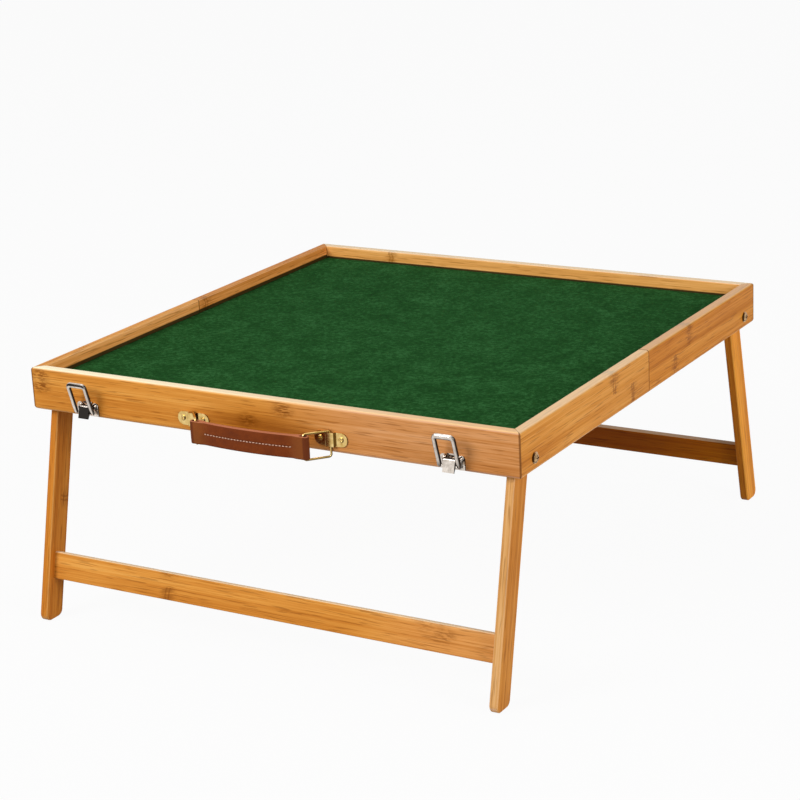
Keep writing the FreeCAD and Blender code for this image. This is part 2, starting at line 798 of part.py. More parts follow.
def saddle_screw_places():
    return [(f"{times(side, 'saddle_x')} {sign} saddle_screw_spread", "saddle_z")
            for side in SIDES.values() for sign in "-+"]


def latch_base(side_name, side):
    """The latch's plate with two round-topped tabs, and two ears that hold the lever's pin."""
    base = new_body(f"latch_base_{side_name}")
    middle = times(side, "latch_x")
    half, tab = "latch_width / 2", "latch_tab / 2"
    low, high = "rail_low + latch_low", "rail_low + latch_high"

    def x(reach):
        return f"{middle} + {reach}"

    def tab_top(sign):
        """The tab's outer, top and inner points, outer first on the right and inner first on the left."""
        stops = [(x(times(sign, f"({half})")), f"{high} - {tab}"),
                 (x(times(sign, f"({half} - {tab})")), high),
                 (x(times(sign, f"({half} - latch_tab)")), f"{high} - {tab}")]
        return stops if sign > 0 else stops[::-1]

    outline = [(x(minus(half)), low), (x(half), low)]
    for sign in (RIGHT, LEFT):
        first, top, last = tab_top(sign)
        outline += [first, (*top, tab, 1), (*last, tab, 1)]
        if sign == RIGHT:
            step = f"{half} - latch_tab"
            outline += [(x(f"({step})"), "rail_low + latch_middle_high"),
                        (x(minus(step)), "rail_low + latch_middle_high")]
    pad(base, "y", "-(half_depth + latch_plate)", "-half_depth", outline)
    ear = "latch_ear_round"
    ear_low, ear_high = around("latch_pivot_z", ear)
    for sign in SIDES.values():
        low_x, high_x = sorted((x(times(sign, "latch_ear_in")), x(times(sign, "latch_ear_out"))), key=value)
        pad(base, "x", low_x, high_x, [
            ("-half_depth", ear_low), ("-half_depth", ear_high), ("-latch_pivot_y", ear_high),
            (f"-latch_pivot_y - {ear}", "latch_pivot_z", ear, 1), ("-latch_pivot_y", ear_low, ear, 1),
        ])
    pocket(base, "x", *around(middle, "latch_ear_out + overrun"),
           ("-latch_pivot_y", "latch_pivot_z", "latch_pin_dia / 2 + latch_pin_fit"))
    holes = [screw_hole(*spot) for spot in latch_screw_places() if value(spot[0]) * side > 0]
    pocket(base, "y", "-(half_depth + latch_plate + overrun)", "overrun - half_depth", *holes)
    keep(base)


def latch_pin(side_name, side):
    pin = doc.addObject("Part::Cylinder", f"latch_pin_{side_name}")
    bind(pin, Radius="latch_pin_dia / 2", Height="2 * latch_ear_out")
    start = f"{times(side, 'latch_x')} - latch_ear_out"
    return place(pin, x=start, y="-latch_pivot_y", z="latch_pivot_z", axis=(0, 1, 0), turn="90")


def latch_lever(side_name, side):
    """A pressed lever: a rolled eye on the pin, a front plate, and two side flanges that carry the loop."""
    lever = new_body(f"latch_lever_{side_name}")
    half = "lever_width / 2"
    tip = "-lever_length"
    pad(lever, "x", minus(half), half, [
        ("-lever_eye", tip), ("lever_wall - lever_eye", tip), ("lever_eye", "0"),
        ("0", "lever_eye", "lever_eye", 1), ("-lever_eye", "0", "lever_eye", 1),
    ])
    inside = rectangle("lever_wall - lever_eye", "lever_eye + overrun",
                       f"{tip} - overrun", "-lever_eye - lever_wall")
    pocket(lever, "x", f"lever_wall - {half}", f"{half} - lever_wall", inside)
    bore = "latch_pin_dia / 2 + latch_pin_fit"
    for y, z in (("0", "0"), ("-loop_pivot_out", "-loop_pivot_drop")):
        pocket(lever, "x", f"-{half} - overrun", f"{half} + overrun", (y, z, bore))
    keep(place(lever, times(side, "latch_x"), "-latch_pivot_y", "latch_pivot_z", (-1, 0, 0), "lever_lean"))


def latch_loop(side_name, side):
    """A stamped loop with a rolled top bar and two short pins turned in through the lever's flanges."""
    loop = new_body(f"latch_loop_{side_name}")
    bar, corner, window = "loop_bar / 2", "loop_corner", "loop_window_corner"
    top, inner_top = "loop_length", "loop_length - loop_top_bar"
    outline = [
        ("loop_half", "0", bar, 1), ("loop_half", f"{top} - {corner}"),
        (f"loop_half - {corner}", top, corner, 1), (f"{corner} - loop_half", top),
        ("-loop_half", f"{top} - {corner}", corner, 1), ("-loop_half", "0"),
        (f"{bar} - loop_half", minus(bar), bar, 1), ("-loop_inner", "0", bar, 1),
        ("-loop_inner", f"{inner_top} - {window}"), (f"{window} - loop_inner", inner_top, window, -1),
        (f"loop_inner - {window}", inner_top), ("loop_inner", f"{inner_top} - {window}", window, -1),
        ("loop_inner", "0"), (f"loop_half - {bar}", minus(bar), bar, 1),
    ]
    pad(loop, "y", "-loop_thick / 2", "loop_thick / 2", outline)
    pad(loop, "x", f"{corner} - loop_half", f"loop_half - {corner}",
        ("0", f"{top} - loop_top_bar / 2", "loop_roll"))
    for sign in SIDES.values():
        low, high = sorted((times(sign, "loop_pin_in"), times(sign, f"(loop_half - {bar})")), key=value)
        pad(loop, "x", low, high, ("0", "0", "latch_pin_dia / 2"))
    keep(place(loop, times(side, "latch_x"), "-loop_y", "loop_z", (1, 0, 0), "loop_lean"))


def catch(side_name, side):
    """A catch plate with an upturned hook, which meets the loop when the case is shut."""
    piece = new_body(f"catch_{side_name}")
    middle = times(side, "latch_x")
    low, high = "rail_low + catch_low", "rail_low + catch_high"
    plate = rounded(*around(middle, "catch_width / 2"), low, high, "catch_corner")
    pad(piece, "y", "half_depth", "half_depth + catch_plate", plate)
    arm, tip = "half_depth + catch_hook_out", f"{high} + catch_hook_rise"
    pad(piece, "x", *around(middle, "catch_hook_width / 2"), [
        ("half_depth", f"{high} - catch_plate"), (f"{arm} + catch_plate", f"{high} - catch_plate"),
        (f"{arm} + catch_plate", tip), (arm, tip), (arm, high), ("half_depth", high),
    ])
    holes = [screw_hole(*spot) for spot in catch_screw_places() if value(spot[0]) * side > 0]
    pocket(piece, "y", "half_depth - overrun", "half_depth + catch_plate + overrun", *holes)
    keep(piece)


def latches():
    for side_name, side in SIDES.items():
        latch_base(side_name, side)
        latch_lever(side_name, side)
        latch_loop(side_name, side)
        catch(side_name, side)
    keep_group("latch_pins", [latch_pin(*item) for item in SIDES.items()])
    keep_group("latch_screws", [
        small_screw(f"latch_screw_{index}", "front", x, "-(half_depth + latch_plate)", z, "latch_screw_head")
        for index, (x, z) in enumerate(latch_screw_places())])
    keep_group("catch_screws", [
        small_screw(f"catch_screw_{index}", "rear", x, "half_depth + catch_plate", z)
        for index, (x, z) in enumerate(catch_screw_places())])


# Strap handle

def saddle(side_name, side):
    """A brass saddle: a round-ended strip with a raised bridge, which holds the ring's inner bar."""
    strip = new_body(f"handle_saddle_{side_name}")
    middle = times(side, "saddle_x")
    face = "-half_depth"
    inside, plate = "saddle_inside", "saddle_plate"
    outside = f"saddle_room + {plate}"
    low, high = around("saddle_z", "saddle_height / 2")

    def x(reach):
        return f"{middle} + {reach}"

    def y(out):
        return f"{face} - ({out})"

    end, bend = "saddle_length / 2", "saddle_round"
    crown = f"{inside} + {plate}"
    pad(strip, "z", low, high, [
        (x(minus(end)), y("0")), (x(minus(end)), y(plate)), (x(minus(outside)), y(plate)),
        (x(minus(outside)), y(f"{crown} - {bend}")), (x(f"{bend} - ({outside})"), y(crown), bend, 1),
        (x(f"{outside} - {bend}"), y(crown)), (x(outside), y(f"{crown} - {bend}"), bend, 1),
        (x(outside), y(plate)), (x(end), y(plate)), (x(end), y("0")),
        (x("saddle_room"), y("0")), (x("saddle_room"), y(inside)),
        (x("-saddle_room"), y(inside)), (x("-saddle_room"), y("0")),
    ])
    reach = value(end) - SIZES["saddle_round"]
    round_edges(strip, "saddle_end_round",
                lambda edge: is_along_y(edge) and abs(edge.CenterOfMass.x - value(middle)) > reach)
    holes = [screw_hole(*spot) for spot in saddle_screw_places() if value(spot[0]) * side > 0]
    pocket(strip, "y", "-(half_depth + saddle_plate + overrun)", "overrun - half_depth", *holes)
    keep(strip)


def is_along_y(edge):
    box = edge.BoundBox
    return box.YLength > max(box.XLength, box.ZLength) and len(edge.Vertexes) == 2


def ring(side_name, side):
    """A rectangular ring of brass wire, swung out on its inner bar."""
    wire = new_body(f"handle_ring_{side_name}")
    path = new_sketch(wire, "y", "0")
    reach = times(-side, "ring_length")
    low_x, high_x = sorted(("0", reach), key=value)
    draw(path, rectangle(low_x, high_x, "-ring_rise / 2", "ring_rise / 2"))
    section = new_sketch(wire, "z", "0")
    draw(section, ("0", "0", "ring_radius"))
    pipe = wire.newObject("PartDesign::AdditivePipe", f"{wire.Name}_bend")
    pipe.Profile = section
    pipe.Spine = path
    pipe.Transition = "Right corner"
    axis = (0, 0, side)
    keep(place(wire, times(side, "saddle_x"), "-ring_pivot_y", "ring_z", axis, "ring_swing"))


def strap():
    """The leather strap: a flat band whose thicker ends fold round the rings, with slack in each fold."""
    band = new_body("handle_strap")
    bulge, thin = "strap_bulge", "strap_half"
    neck = "slot_in - strap_wall"
    waist = f"{neck} - strap_shoulder"
    outline = [
        (minus(waist), minus(thin)), (waist, minus(thin)), (neck, minus(bulge)),
        (f"strap_end - {bulge}", minus(bulge)), ("strap_end", "0", bulge, 1),
        (f"strap_end - {bulge}", bulge, bulge, 1),
        (neck, bulge), (waist, thin), (minus(waist), thin), (minus(neck), bulge),
        (f"{bulge} - strap_end", bulge), ("-strap_end", "0", bulge, 1),
        (f"{bulge} - strap_end", minus(bulge), bulge, 1), (minus(neck), minus(bulge)),
    ]
    slots = []
    for sign in SIDES.values():
        low, high = sorted((times(sign, "slot_in"), times(sign, "slot_out")), key=value)
        near, far = f"{low} + slot_half", f"{high} - slot_half"
        slots.append([
            (near, "-slot_half", "slot_half", 1), (far, "-slot_half"), (high, "0", "slot_half", 1),
            (far, "slot_half", "slot_half", 1), (near, "slot_half"), (low, "0", "slot_half", 1),
        ])
    pad(band, "z", "-strap_height / 2", "strap_height / 2", outline, *slots)
    keep(place(band, y="-strap_y", z="ring_z"))


def handle():
    for side_name, side in SIDES.items():
        saddle(side_name, side)
        ring(side_name, side)
    strap()
    keep_group("handle_screws", [
        small_screw(f"handle_screw_{index}", "front", x, "-(half_depth + saddle_plate)", z)
        for index, (x, z) in enumerate(saddle_screw_places())])


# The whole table

def build():
    fill_sheet()
    for name, end in ENDS.items():
        end_rail(name, end)
        hinge_rail(name, end)
        board(name, end)
        felt(name, end)
        stretcher(name, end)
        pivot_hardware(name, end)
        for side_name, side in SIDES.items():
            side_rail(name, end, side_name, side)
            leg(name, end, side_name, side)
    hinges()
    latches()
    handle()
    doc.recompute()


def write():
    """Check every object, then write each sub-part to its own file."""
    faults = [item.Label for item in doc.Objects if {"Invalid", "Error"} & set(item.State)]
    faults += [piece.Label for piece in subparts if piece.Shape.isNull() or not piece.Shape.isValid()]
    if faults:
        raise RuntimeError(f"these objects failed: {faults}")
    os.makedirs("parts", exist_ok=True)
    for piece in subparts:
        piece.Shape.exportStep(f"parts/{piece.Label}.step")
    print(len(subparts), "sub-parts written")


build()
write()
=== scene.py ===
import json
import math
import random

import bmesh
import bpy
from mathutils import Matrix, Vector, noise

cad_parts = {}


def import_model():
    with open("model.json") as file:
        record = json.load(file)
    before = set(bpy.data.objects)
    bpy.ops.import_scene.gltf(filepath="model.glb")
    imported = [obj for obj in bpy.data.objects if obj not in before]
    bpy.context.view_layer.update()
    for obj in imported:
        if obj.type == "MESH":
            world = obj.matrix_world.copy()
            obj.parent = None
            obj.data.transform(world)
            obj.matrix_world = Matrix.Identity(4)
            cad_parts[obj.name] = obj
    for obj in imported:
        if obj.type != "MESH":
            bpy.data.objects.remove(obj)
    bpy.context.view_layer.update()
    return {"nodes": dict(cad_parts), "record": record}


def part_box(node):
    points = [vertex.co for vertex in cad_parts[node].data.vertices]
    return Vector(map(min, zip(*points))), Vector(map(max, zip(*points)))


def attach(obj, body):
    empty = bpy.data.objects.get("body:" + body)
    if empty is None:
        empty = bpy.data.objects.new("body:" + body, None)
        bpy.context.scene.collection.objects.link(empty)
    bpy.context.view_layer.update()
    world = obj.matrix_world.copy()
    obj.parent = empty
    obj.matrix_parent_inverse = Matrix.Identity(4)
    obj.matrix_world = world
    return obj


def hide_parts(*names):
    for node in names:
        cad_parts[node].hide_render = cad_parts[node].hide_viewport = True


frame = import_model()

# The folding game table, dressed around its CAD frame. All places are in metres in the part's frame.
nodes = frame["nodes"]
chance = random.Random(7)

ENDS = ("front", "rear")
SIDES = ("left", "right")
HALF_WIDTH = 0.300
HALF_DEPTH = 0.300
RAIL_THICK = 0.012
RAIL_LOW, RAIL_TOP = (corner.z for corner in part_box("front_end_rail"))
RAIL_SPLIT = (RAIL_LOW + RAIL_TOP) / 2
FELT_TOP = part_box("front_felt")[1].z
BOARD_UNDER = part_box("front_board")[0].z
LEG_SPLAY = math.radians(13.3)
LEVER_LEAN = math.radians(15.0)
UP = Vector((0.0, 0.0, 1.0))
WHITE = (1.0, 1.0, 1.0, 1.0)


# Materials

class Graph:
    """A material's node tree, with short words for the nodes that the surfaces need."""

    def __init__(self, name):
        self.material = bpy.data.materials.new(name)
        self.material.use_nodes = True
        self.tree = self.material.node_tree
        self.tree.nodes.clear()
        self.shader = self.add("ShaderNodeBsdfPrincipled")
        output = self.add("ShaderNodeOutputMaterial")
        self.tree.links.new(self.shader.outputs["BSDF"], output.inputs["Surface"])

    def add(self, kind, **settings):
        node = self.tree.nodes.new(kind)
        for name, setting in settings.items():
            setattr(node, name, setting)
        return node

    def feed(self, socket, source):
        """Link a socket to another one, or set its value."""
        if isinstance(source, bpy.types.NodeSocket):
            self.tree.links.new(source, socket)
        else:
            socket.default_value = source

    def surface(self, **inputs):
        """Set or link the shader's own sockets, named with underscores for spaces."""
        for name, source in inputs.items():
            self.feed(self.shader.inputs[name.replace("_", " ")], source)

    def math(self, operation, *sources):
        node = self.add("ShaderNodeMath", operation=operation)
        for socket, source in zip(node.inputs, sources):
            self.feed(socket, source)
        return node.outputs[0]

    def size(self, source):
        """A value without its sign."""
        return self.math("ABSOLUTE", source)

    def least(self, sources):
        """The smallest of several values."""
        found = sources[0]
        for source in sources[1:]:
            found = self.math("MINIMUM", found, source)
        return found

    def step(self, source, low, high, to_low=0.0, to_high=1.0):
        """A smooth step from one level to another as the source goes from low to high."""
        node = self.add("ShaderNodeMapRange", interpolation_type="SMOOTHSTEP")
        for socket, item in zip(node.inputs, (source, low, high, to_low, to_high)):
            self.feed(socket, item)
        return node.outputs["Result"]

    def fade(self, source, low, high, level=1.0):
        """A smooth step from a level down to nothing."""
        return self.step(source, low, high, level, 0.0)

    def mix(self, share, colour, other, blend="MIX"):
        """A colour with a share of another, plain one laid over it."""
        node = self.add("ShaderNodeMix", data_type="RGBA", blend_type=blend)
        sockets = [item for item in node.inputs if item.type == "RGBA"]
        self.feed(node.inputs["Factor"], share)
        self.feed(sockets[0], colour)
        self.feed(sockets[1], (*other, 1.0))
        return next(item for item in node.outputs if item.type == "RGBA")

    def noise(self, vector, scale, detail=2.0, roughness=0.5, distortion=0.0):
        node = self.add("ShaderNodeTexNoise")
        self.feed(node.inputs["Vector"], vector)
        for name, setting in (("Scale", scale), ("Detail", detail), ("Roughness", roughness),
                              ("Distortion", distortion)):
            node.inputs[name].default_value = setting
        return node.outputs["Fac"]

    def ramp(self, factor, stops):
        """A colour ramp through (place, colour) stops."""
        node = self.add("ShaderNodeValToRGB")
        items = node.color_ramp.elements
        while len(items) < len(stops):
            items.new(0.5)
        for item, (spot, colour) in zip(items, stops):
            item.position = spot
            item.color = (*colour, 1.0)
        self.feed(node.inputs["Fac"], factor)
        return node.outputs["Color"]

    def place(self):
        return self.add("ShaderNodeTexCoord").outputs["Object"]

    def facing(self):
        """Which way the surface looks, in the piece's own frame, so that it turns with the piece."""
        return self.add("ShaderNodeTexCoord").outputs["Normal"]

    def split(self, vector):
        node = self.add("ShaderNodeSeparateXYZ")
        self.feed(node.inputs[0], vector)
        return list(node.outputs)

    def join(self, *parts):
        node = self.add("ShaderNodeCombineXYZ")
        for socket, part in zip(node.inputs, parts):
            self.feed(socket, part)
        return node.outputs[0]

    def turn(self, vector, angle):
        """The vector turned about X."""
        node = self.add("ShaderNodeVectorRotate", rotation_type="X_AXIS")
        self.feed(node.inputs["Vector"], vector)
        node.inputs["Angle"].default_value = angle
        return node.outputs["Vector"]

    def bump(self, height, strength, distance):
        node = self.add("ShaderNodeBump")
        node.inputs["Strength"].default_value = strength
        node.inputs["Distance"].default_value = distance
        self.feed(node.inputs["Height"], height)
        self.feed(self.shader.inputs["Normal"], node.outputs["Normal"])


# Bamboo: its colours, by tone from dark to light.
BAMBOO = ((0.10, (0.330, 0.098, 0.0085)), (0.42, (0.520, 0.186, 0.0220)),
          (0.64, (0.630, 0.262, 0.0430)), (0.95, (0.750, 0.378, 0.0900)))
KNOT = (0.180, 0.044, 0.0005)
JOINT = (0.130, 0.038, 0.003)
# Painted colours: a shadow beside the felt, a highlight on rounded edges and a highlight on the upper
# faces.
PAINTED_SHADOW = (0.007, 0.011, 0.002)
EDGE_HIGHLIGHT = (0.800, 0.540, 0.250)
TOP_HIGHLIGHT_CREAM = (0.930, 0.830, 0.590)

# The marks that run with the fibres: how short they are, their scale and their detail.
STREAKS = (0.012, 190.0, 3.0)
FIBRES = (0.010, 900.0, 2.0)
DASHES = (0.045, 620.0, 1.0)
SPECKLES = (0.16, 420.0, 2.0)
FLECKS = (0.24, 520.0, 2.0)
FIBRE_ROUGHNESS = 0.6
CLOUD_SCALE = 12.0
NOISE_MIDDLE = 0.5

# What makes up the tone: its start, the step between the two strips, and the share of each mark.
TONE_START = -0.28
STRIP_STEP = 0.09
STREAK_SHARE = 0.75
FIBRE_SHARE = 0.55
CLOUD_SHARE = 0.30
DASH_SHARE = 0.45
STRIP_BLUR = 0.0002

# The culm's rings, and the knots that are cut flat.
FAR = 9.0
RING_SCALE = 110.0
RING_WANDER = 0.0075
RING_OFF = 0.0022
HAZE_SHARE = 0.62
RING_SHARE = 0.78
RING_LEVELS = (0.55, 1.0)
PATCH_LENGTH = 0.019
PATCH_HEIGHT = 0.012
FLECK_LEVELS = (0.14, 0.85)

# Between which values each mark or shade comes in or fades.
DASH_RANGE = (0.57, 0.68)
DARK_AREA_RANGE = (0.1, 1.0)
SPECKLE_RANGE = (0.42, 0.60)
HAZE_RANGE = (0.001, 0.016)
RING_RANGE = (0.0004, 0.0019)
PATCH_RANGE = (0.15, 1.0)
FLECK_RANGE = (0.40, 0.58)
EDGE_HIGHLIGHT_RANGE = (0.80, 0.985)
PAINTED_LIGHT_RANGE = (0.6, 0.95)
TOP_HIGHLIGHT_RANGE = (0.55, 0.95)
SEAM_RANGE = (0.0004, 0.0010)
CORNER_RANGE = (0.0012, 0.0030)

# The lacquer's roughness over dark and light streaks, and the relief of fibres and knots.
GLOSS_RANGE = (0.2, 0.8)
RAIL_GLOSS = (0.52, 0.38)
FIBRE_HEIGHT = 0.5
KNOT_HEIGHT = -0.6

# The painted highlight on rounded edges, the lines of the glued mitres, and the painted shadow beside the
# felt.
EDGE_HIGHLIGHT_SHARE = 0.30
MITRE_LINE = 0.0002
CORNER_WIDTHS = (0.0030, 0.0003)
JOINT_SHARE = 0.85
SHADOW_RISES = {"x": 0.0024, "y": 0.0042}
SHADOW_FADE = 0.0014
SHADOW_SHARE = 0.95
INNER_FACE = (RAIL_THICK - 0.0004, RAIL_THICK - 0.0001)
GROOVE_FACE = (BOARD_UNDER, BOARD_UNDER + 0.0002)


class Bamboo(Graph):
    """Laminated bamboo whose fibres run along X, along Y or along a leg.

    Meet is the height where the piece's lower and upper strips meet. Dim scales its tone, mostly as painted
    shade, and lean turns the grain with a leg.
    """

    def __init__(self, name, along, seed, meet, dim, lean):
        super().__init__(f"bamboo_{name}")
        self.along = along
        self.seed = seed
        self.dim = dim
        spot = self.place()
        normal = self.facing()
        if lean:
            spot = self.turn(spot, lean)
            normal = self.turn(normal, lean)
        self.x, self.y, self.z = self.split(spot)
        self.looks = self.split(normal)
        ways = {"x": (self.x, self.z, self.y), "y": (self.y, self.z, self.x),
                "leg": (self.z, self.y, self.x)}
        self.run, self.rise, self.depth = ways[along]
        self.streaks = self.fibre(*STREAKS)
        self.fibres = self.fibre(*FIBRES)
        self.strip = self.step(self.rise, meet - STRIP_BLUR, meet + STRIP_BLUR)

    def fibre(self, stretch, scale, detail):
        """Noise drawn out along the fibres."""
        drawn = self.math("MULTIPLY_ADD", self.run, stretch, self.seed)
        return self.noise(self.join(drawn, self.rise, self.depth), scale, detail, FIBRE_ROUGHNESS)

    def toned(self, colour):
        return tuple(part * scale for part, scale in zip(colour, self.dim))

    def far_from(self, place, height, length, tall):
        """How far a point lies from an oval's middle, where 1 is its rim."""
        along = self.math("MULTIPLY", self.math("SUBTRACT", self.run, place), 1 / length)
        up = self.math("MULTIPLY", self.math("SUBTRACT", self.rise, height), 1 / tall)
        return self.math("SQRT", self.math("MULTIPLY_ADD", along, along, self.math("MULTIPLY", up, up)))

    def strips(self, dark_area):
        """The colour of the two strips, with streaks, fibres, clouds and dashes.

        The dark area, where there is one, is broad and darker: its place and height, its length and height,
        and how dark it is.
        """
        moved = self.join(self.math("ADD", self.run, self.seed), self.rise, self.depth)
        cloud = self.noise(moved, CLOUD_SCALE)
        contrast = STRIP_STEP if self.seed % 2 else -STRIP_STEP
        tone = self.math("MULTIPLY_ADD", self.strip, contrast, TONE_START)
        for mark, share in ((self.streaks, STREAK_SHARE), (self.fibres, FIBRE_SHARE), (cloud, CLOUD_SHARE)):
            tone = self.math("MULTIPLY_ADD", mark, share, tone)
        if dark_area:
            *oval, dark = dark_area
            tone = self.math("SUBTRACT", tone, self.fade(self.far_from(*oval), *DARK_AREA_RANGE, dark))
        colour = self.ramp(tone, [(place, self.toned(item)) for place, item in BAMBOO])
        dashes = self.step(self.fibre(*DASHES), *DASH_RANGE)
        return self.mix(self.math("MULTIPLY", dashes, DASH_SHARE), colour, self.toned(KNOT))

    def knots(self, rings, patches):
        """How deep a point is in a knot.

        Rings are the places of the culm's rings in the lower and upper strips. Patches are the places,
        heights and depths of tone of speckled knots that are cut flat.
        """
        wander = self.noise(self.join(self.seed, self.rise, self.depth), RING_SCALE)
        here = self.math("MULTIPLY_ADD", self.math("SUBTRACT", wander, NOISE_MIDDLE), RING_WANDER, self.run)
        gaps = []
        for places in rings:
            near = [self.size(self.math("SUBTRACT", here, place)) for place in places]
            gaps.append(self.least(near) if near else FAR)
        lower, upper = gaps
        gap = self.math("MULTIPLY_ADD", self.strip, self.math("SUBTRACT", upper, lower), lower)
        speckle = self.step(self.fibre(*SPECKLES), *SPECKLE_RANGE)
        haze = self.math("MULTIPLY", self.fade(gap, *HAZE_RANGE), speckle)
        ring = self.fade(self.size(self.math("SUBTRACT", gap, RING_OFF)), *RING_RANGE)
        ring = self.math("MULTIPLY", ring, self.step(speckle, 0.0, 1.0, *RING_LEVELS))
        knot = self.math("MAXIMUM", self.math("MULTIPLY", haze, HAZE_SHARE),
                         self.math("MULTIPLY", ring, RING_SHARE))
        if patches:
            blot = 0.0
            for place, height, dark in patches:
                far = self.far_from(place, height, PATCH_LENGTH, PATCH_HEIGHT)
                blot = self.math("MAXIMUM", self.fade(far, *PATCH_RANGE, dark), blot)
            flecks = self.step(self.fibre(*FLECKS), *FLECK_RANGE, *FLECK_LEVELS)
            knot = self.math("MAXIMUM", knot, self.math("MULTIPLY", blot, flecks))
        return knot

    def faces(self, colour, painted_light, top_highlight):
        """The colour with a painted highlight on rounded edges, and painted light on faces of one
        direction.

        The painted light is a tint of the faces that look to the front or the right, for how the lamps fall
        on them, and the places in X where it starts and is full. The upper faces go to cream by a share at
        the left and at the right, as a painted highlight of the light from above.
        """
        sizes = [self.size(part) for part in self.looks]
        most = self.math("MAXIMUM", self.math("MAXIMUM", sizes[0], sizes[1]), sizes[2])
        # Painted highlight: rounded edges, whose faces look between the main ways, go paler.
        colour = self.mix(self.fade(most, *EDGE_HIGHLIGHT_RANGE, EDGE_HIGHLIGHT_SHARE), colour, self.toned(EDGE_HIGHLIGHT))
        # Painted light and shade: faces that look to the front or the right are tinted lighter or darker.
        if painted_light:
            way, tint, start, full = painted_light
            turned = self.looks[0] if way == "right" else self.math("MULTIPLY", self.looks[1], -1.0)
            share = self.math("MULTIPLY", self.step(turned, *PAINTED_LIGHT_RANGE), self.step(self.x, start, full))
            colour = self.mix(share, colour, tint, "MULTIPLY")
        # Painted highlight: the upper faces go to cream.
        if top_highlight:
            upward = self.math("MULTIPLY", self.step(self.looks[2], *TOP_HIGHLIGHT_RANGE),
                               self.step(self.x, -HALF_WIDTH, HALF_WIDTH, *top_highlight))
            colour = self.mix(upward, colour, TOP_HIGHLIGHT_CREAM)
        return colour

    def joints(self, colour, parted):
        """The colour with dark lines at the glued mitres, at the parted seam, and a painted shadow along
        the felt.
        """
        side = self.math("SUBTRACT", HALF_WIDTH, self.size(self.x))
        end = self.math("SUBTRACT", HALF_DEPTH, self.size(self.y))
        mitre = self.size(self.math("SUBTRACT", side, end))
        corner = self.step(self.math("MAXIMUM", side, end), *CORNER_RANGE, *CORNER_WIDTHS)
        line = self.math("SUBTRACT", 1.0, self.step(mitre, MITRE_LINE, corner))
        if parted:
            line = self.math("MAXIMUM", line, self.fade(self.size(self.y), *SEAM_RANGE))
        colour = self.mix(self.math("MULTIPLY", line, JOINT_SHARE), colour, JOINT)
        # Painted shadow: the foot of each rail's inner face goes dark just above the felt.
        inward = self.step(side if self.along == "y" else end, *INNER_FACE)
        rim = FELT_TOP + SHADOW_RISES[self.along]
        foot = self.math("MULTIPLY", self.step(self.z, *GROOVE_FACE),
                         self.fade(self.z, rim - SHADOW_FADE, rim))
        gap = self.math("MULTIPLY", self.math("MULTIPLY", inward, foot), SHADOW_SHARE)
        return self.mix(gap, colour, PAINTED_SHADOW)

    def finish(self, colour, knot):
        """Thin satin lacquer over raised fibres and sunken knots."""
        self.surface(Base_Color=colour, Roughness=self.step(self.streaks, *GLOSS_RANGE, *RAIL_GLOSS),
                     Coat_Weight=0.02, Coat_Roughness=0.2, Specular_IOR_Level=0.07)
        sunk = self.math("MULTIPLY", knot, KNOT_HEIGHT)
        relief = self.math("MULTIPLY_ADD", self.fibres, FIBRE_HEIGHT, sunk)
        self.bump(relief, strength=0.35, distance=0.0004)


# Places of the culm's rings along each piece, in its lower and upper strips.
RAIL_RINGS = {
    "front_end_rail": ((), ()),
    "rear_end_rail": ((-0.215, 0.055, 0.248), (-0.190,)),
    "front_right_rail": ((-0.042,), (-0.087,)),
    "rear_right_rail": ((0.070,), (0.108,)),
    "front_left_rail": ((-0.118, -0.270), ()),
    "rear_left_rail": ((0.094, 0.236), (0.0145,)),
    "front_hinge_rail": ((-0.190, 0.080), (-0.040, 0.230)),
    "rear_hinge_rail": ((-0.090, 0.150), (-0.240, 0.020)),
    "front_stretcher": ((-0.1235,), ()),
    "rear_stretcher": ((-0.190,), (-0.188,)),
}
LEG_RINGS = {
    "front_left_leg": ((-0.085,), (-0.088, 0.060)),
    "front_right_leg": ((), ()),
    "rear_left_leg": ((-0.020,), (-0.024, 0.150)),
    "rear_right_leg": ((), ()),
}
RAIL_SEED = 1
LEG_SEED = 21

# Places, heights and depths of tone of the knots that are cut flat.
PATCHES = {
    "front_end_rail": ((0.0278, 0.272, 1.0), (-0.0165, 0.256, 1.0),
                       (-0.2890, 0.274, 1.0), (-0.2880, 0.262, 1.0)),
    "front_stretcher": ((0.2110, 0.080, 0.75), (0.2180, 0.064, 0.65),
                        (0.1960, 0.072, 0.40), (-0.1225, 0.078, 0.9)),
}

# Each piece's tone, mostly painted shade: the leg frames are deeper than the rails, the rear stretcher most
# of all.
PLAIN_TONE = (1.0, 1.0, 1.0)
PAINTED_SHADE_TONES = {
    "rear_right_rail": (1.0, 0.93, 0.60),
    "rear_stretcher": (0.50, 0.31, 0.06),
    "front_left_leg": (0.88, 0.78, 0.60),
    "front_right_leg": (0.98, 0.98, 0.98),
    "rear_left_leg": (0.90, 0.73, 0.36),
    "rear_right_leg": (0.90, 0.73, 0.36),
}
# Painted highlight: how far the upper faces go to cream, at the left and at the right.
TOP_HIGHLIGHTS = {
    "front_end_rail": (0.95, 0.32),
    "rear_end_rail": (0.6, 0.6),
    "front_right_rail": (0.42, 0.42),
    "rear_right_rail": (0.3, 0.3),
    "front_stretcher": (0.6, 0.6),
    "rear_stretcher": (0.35, 0.35),
}
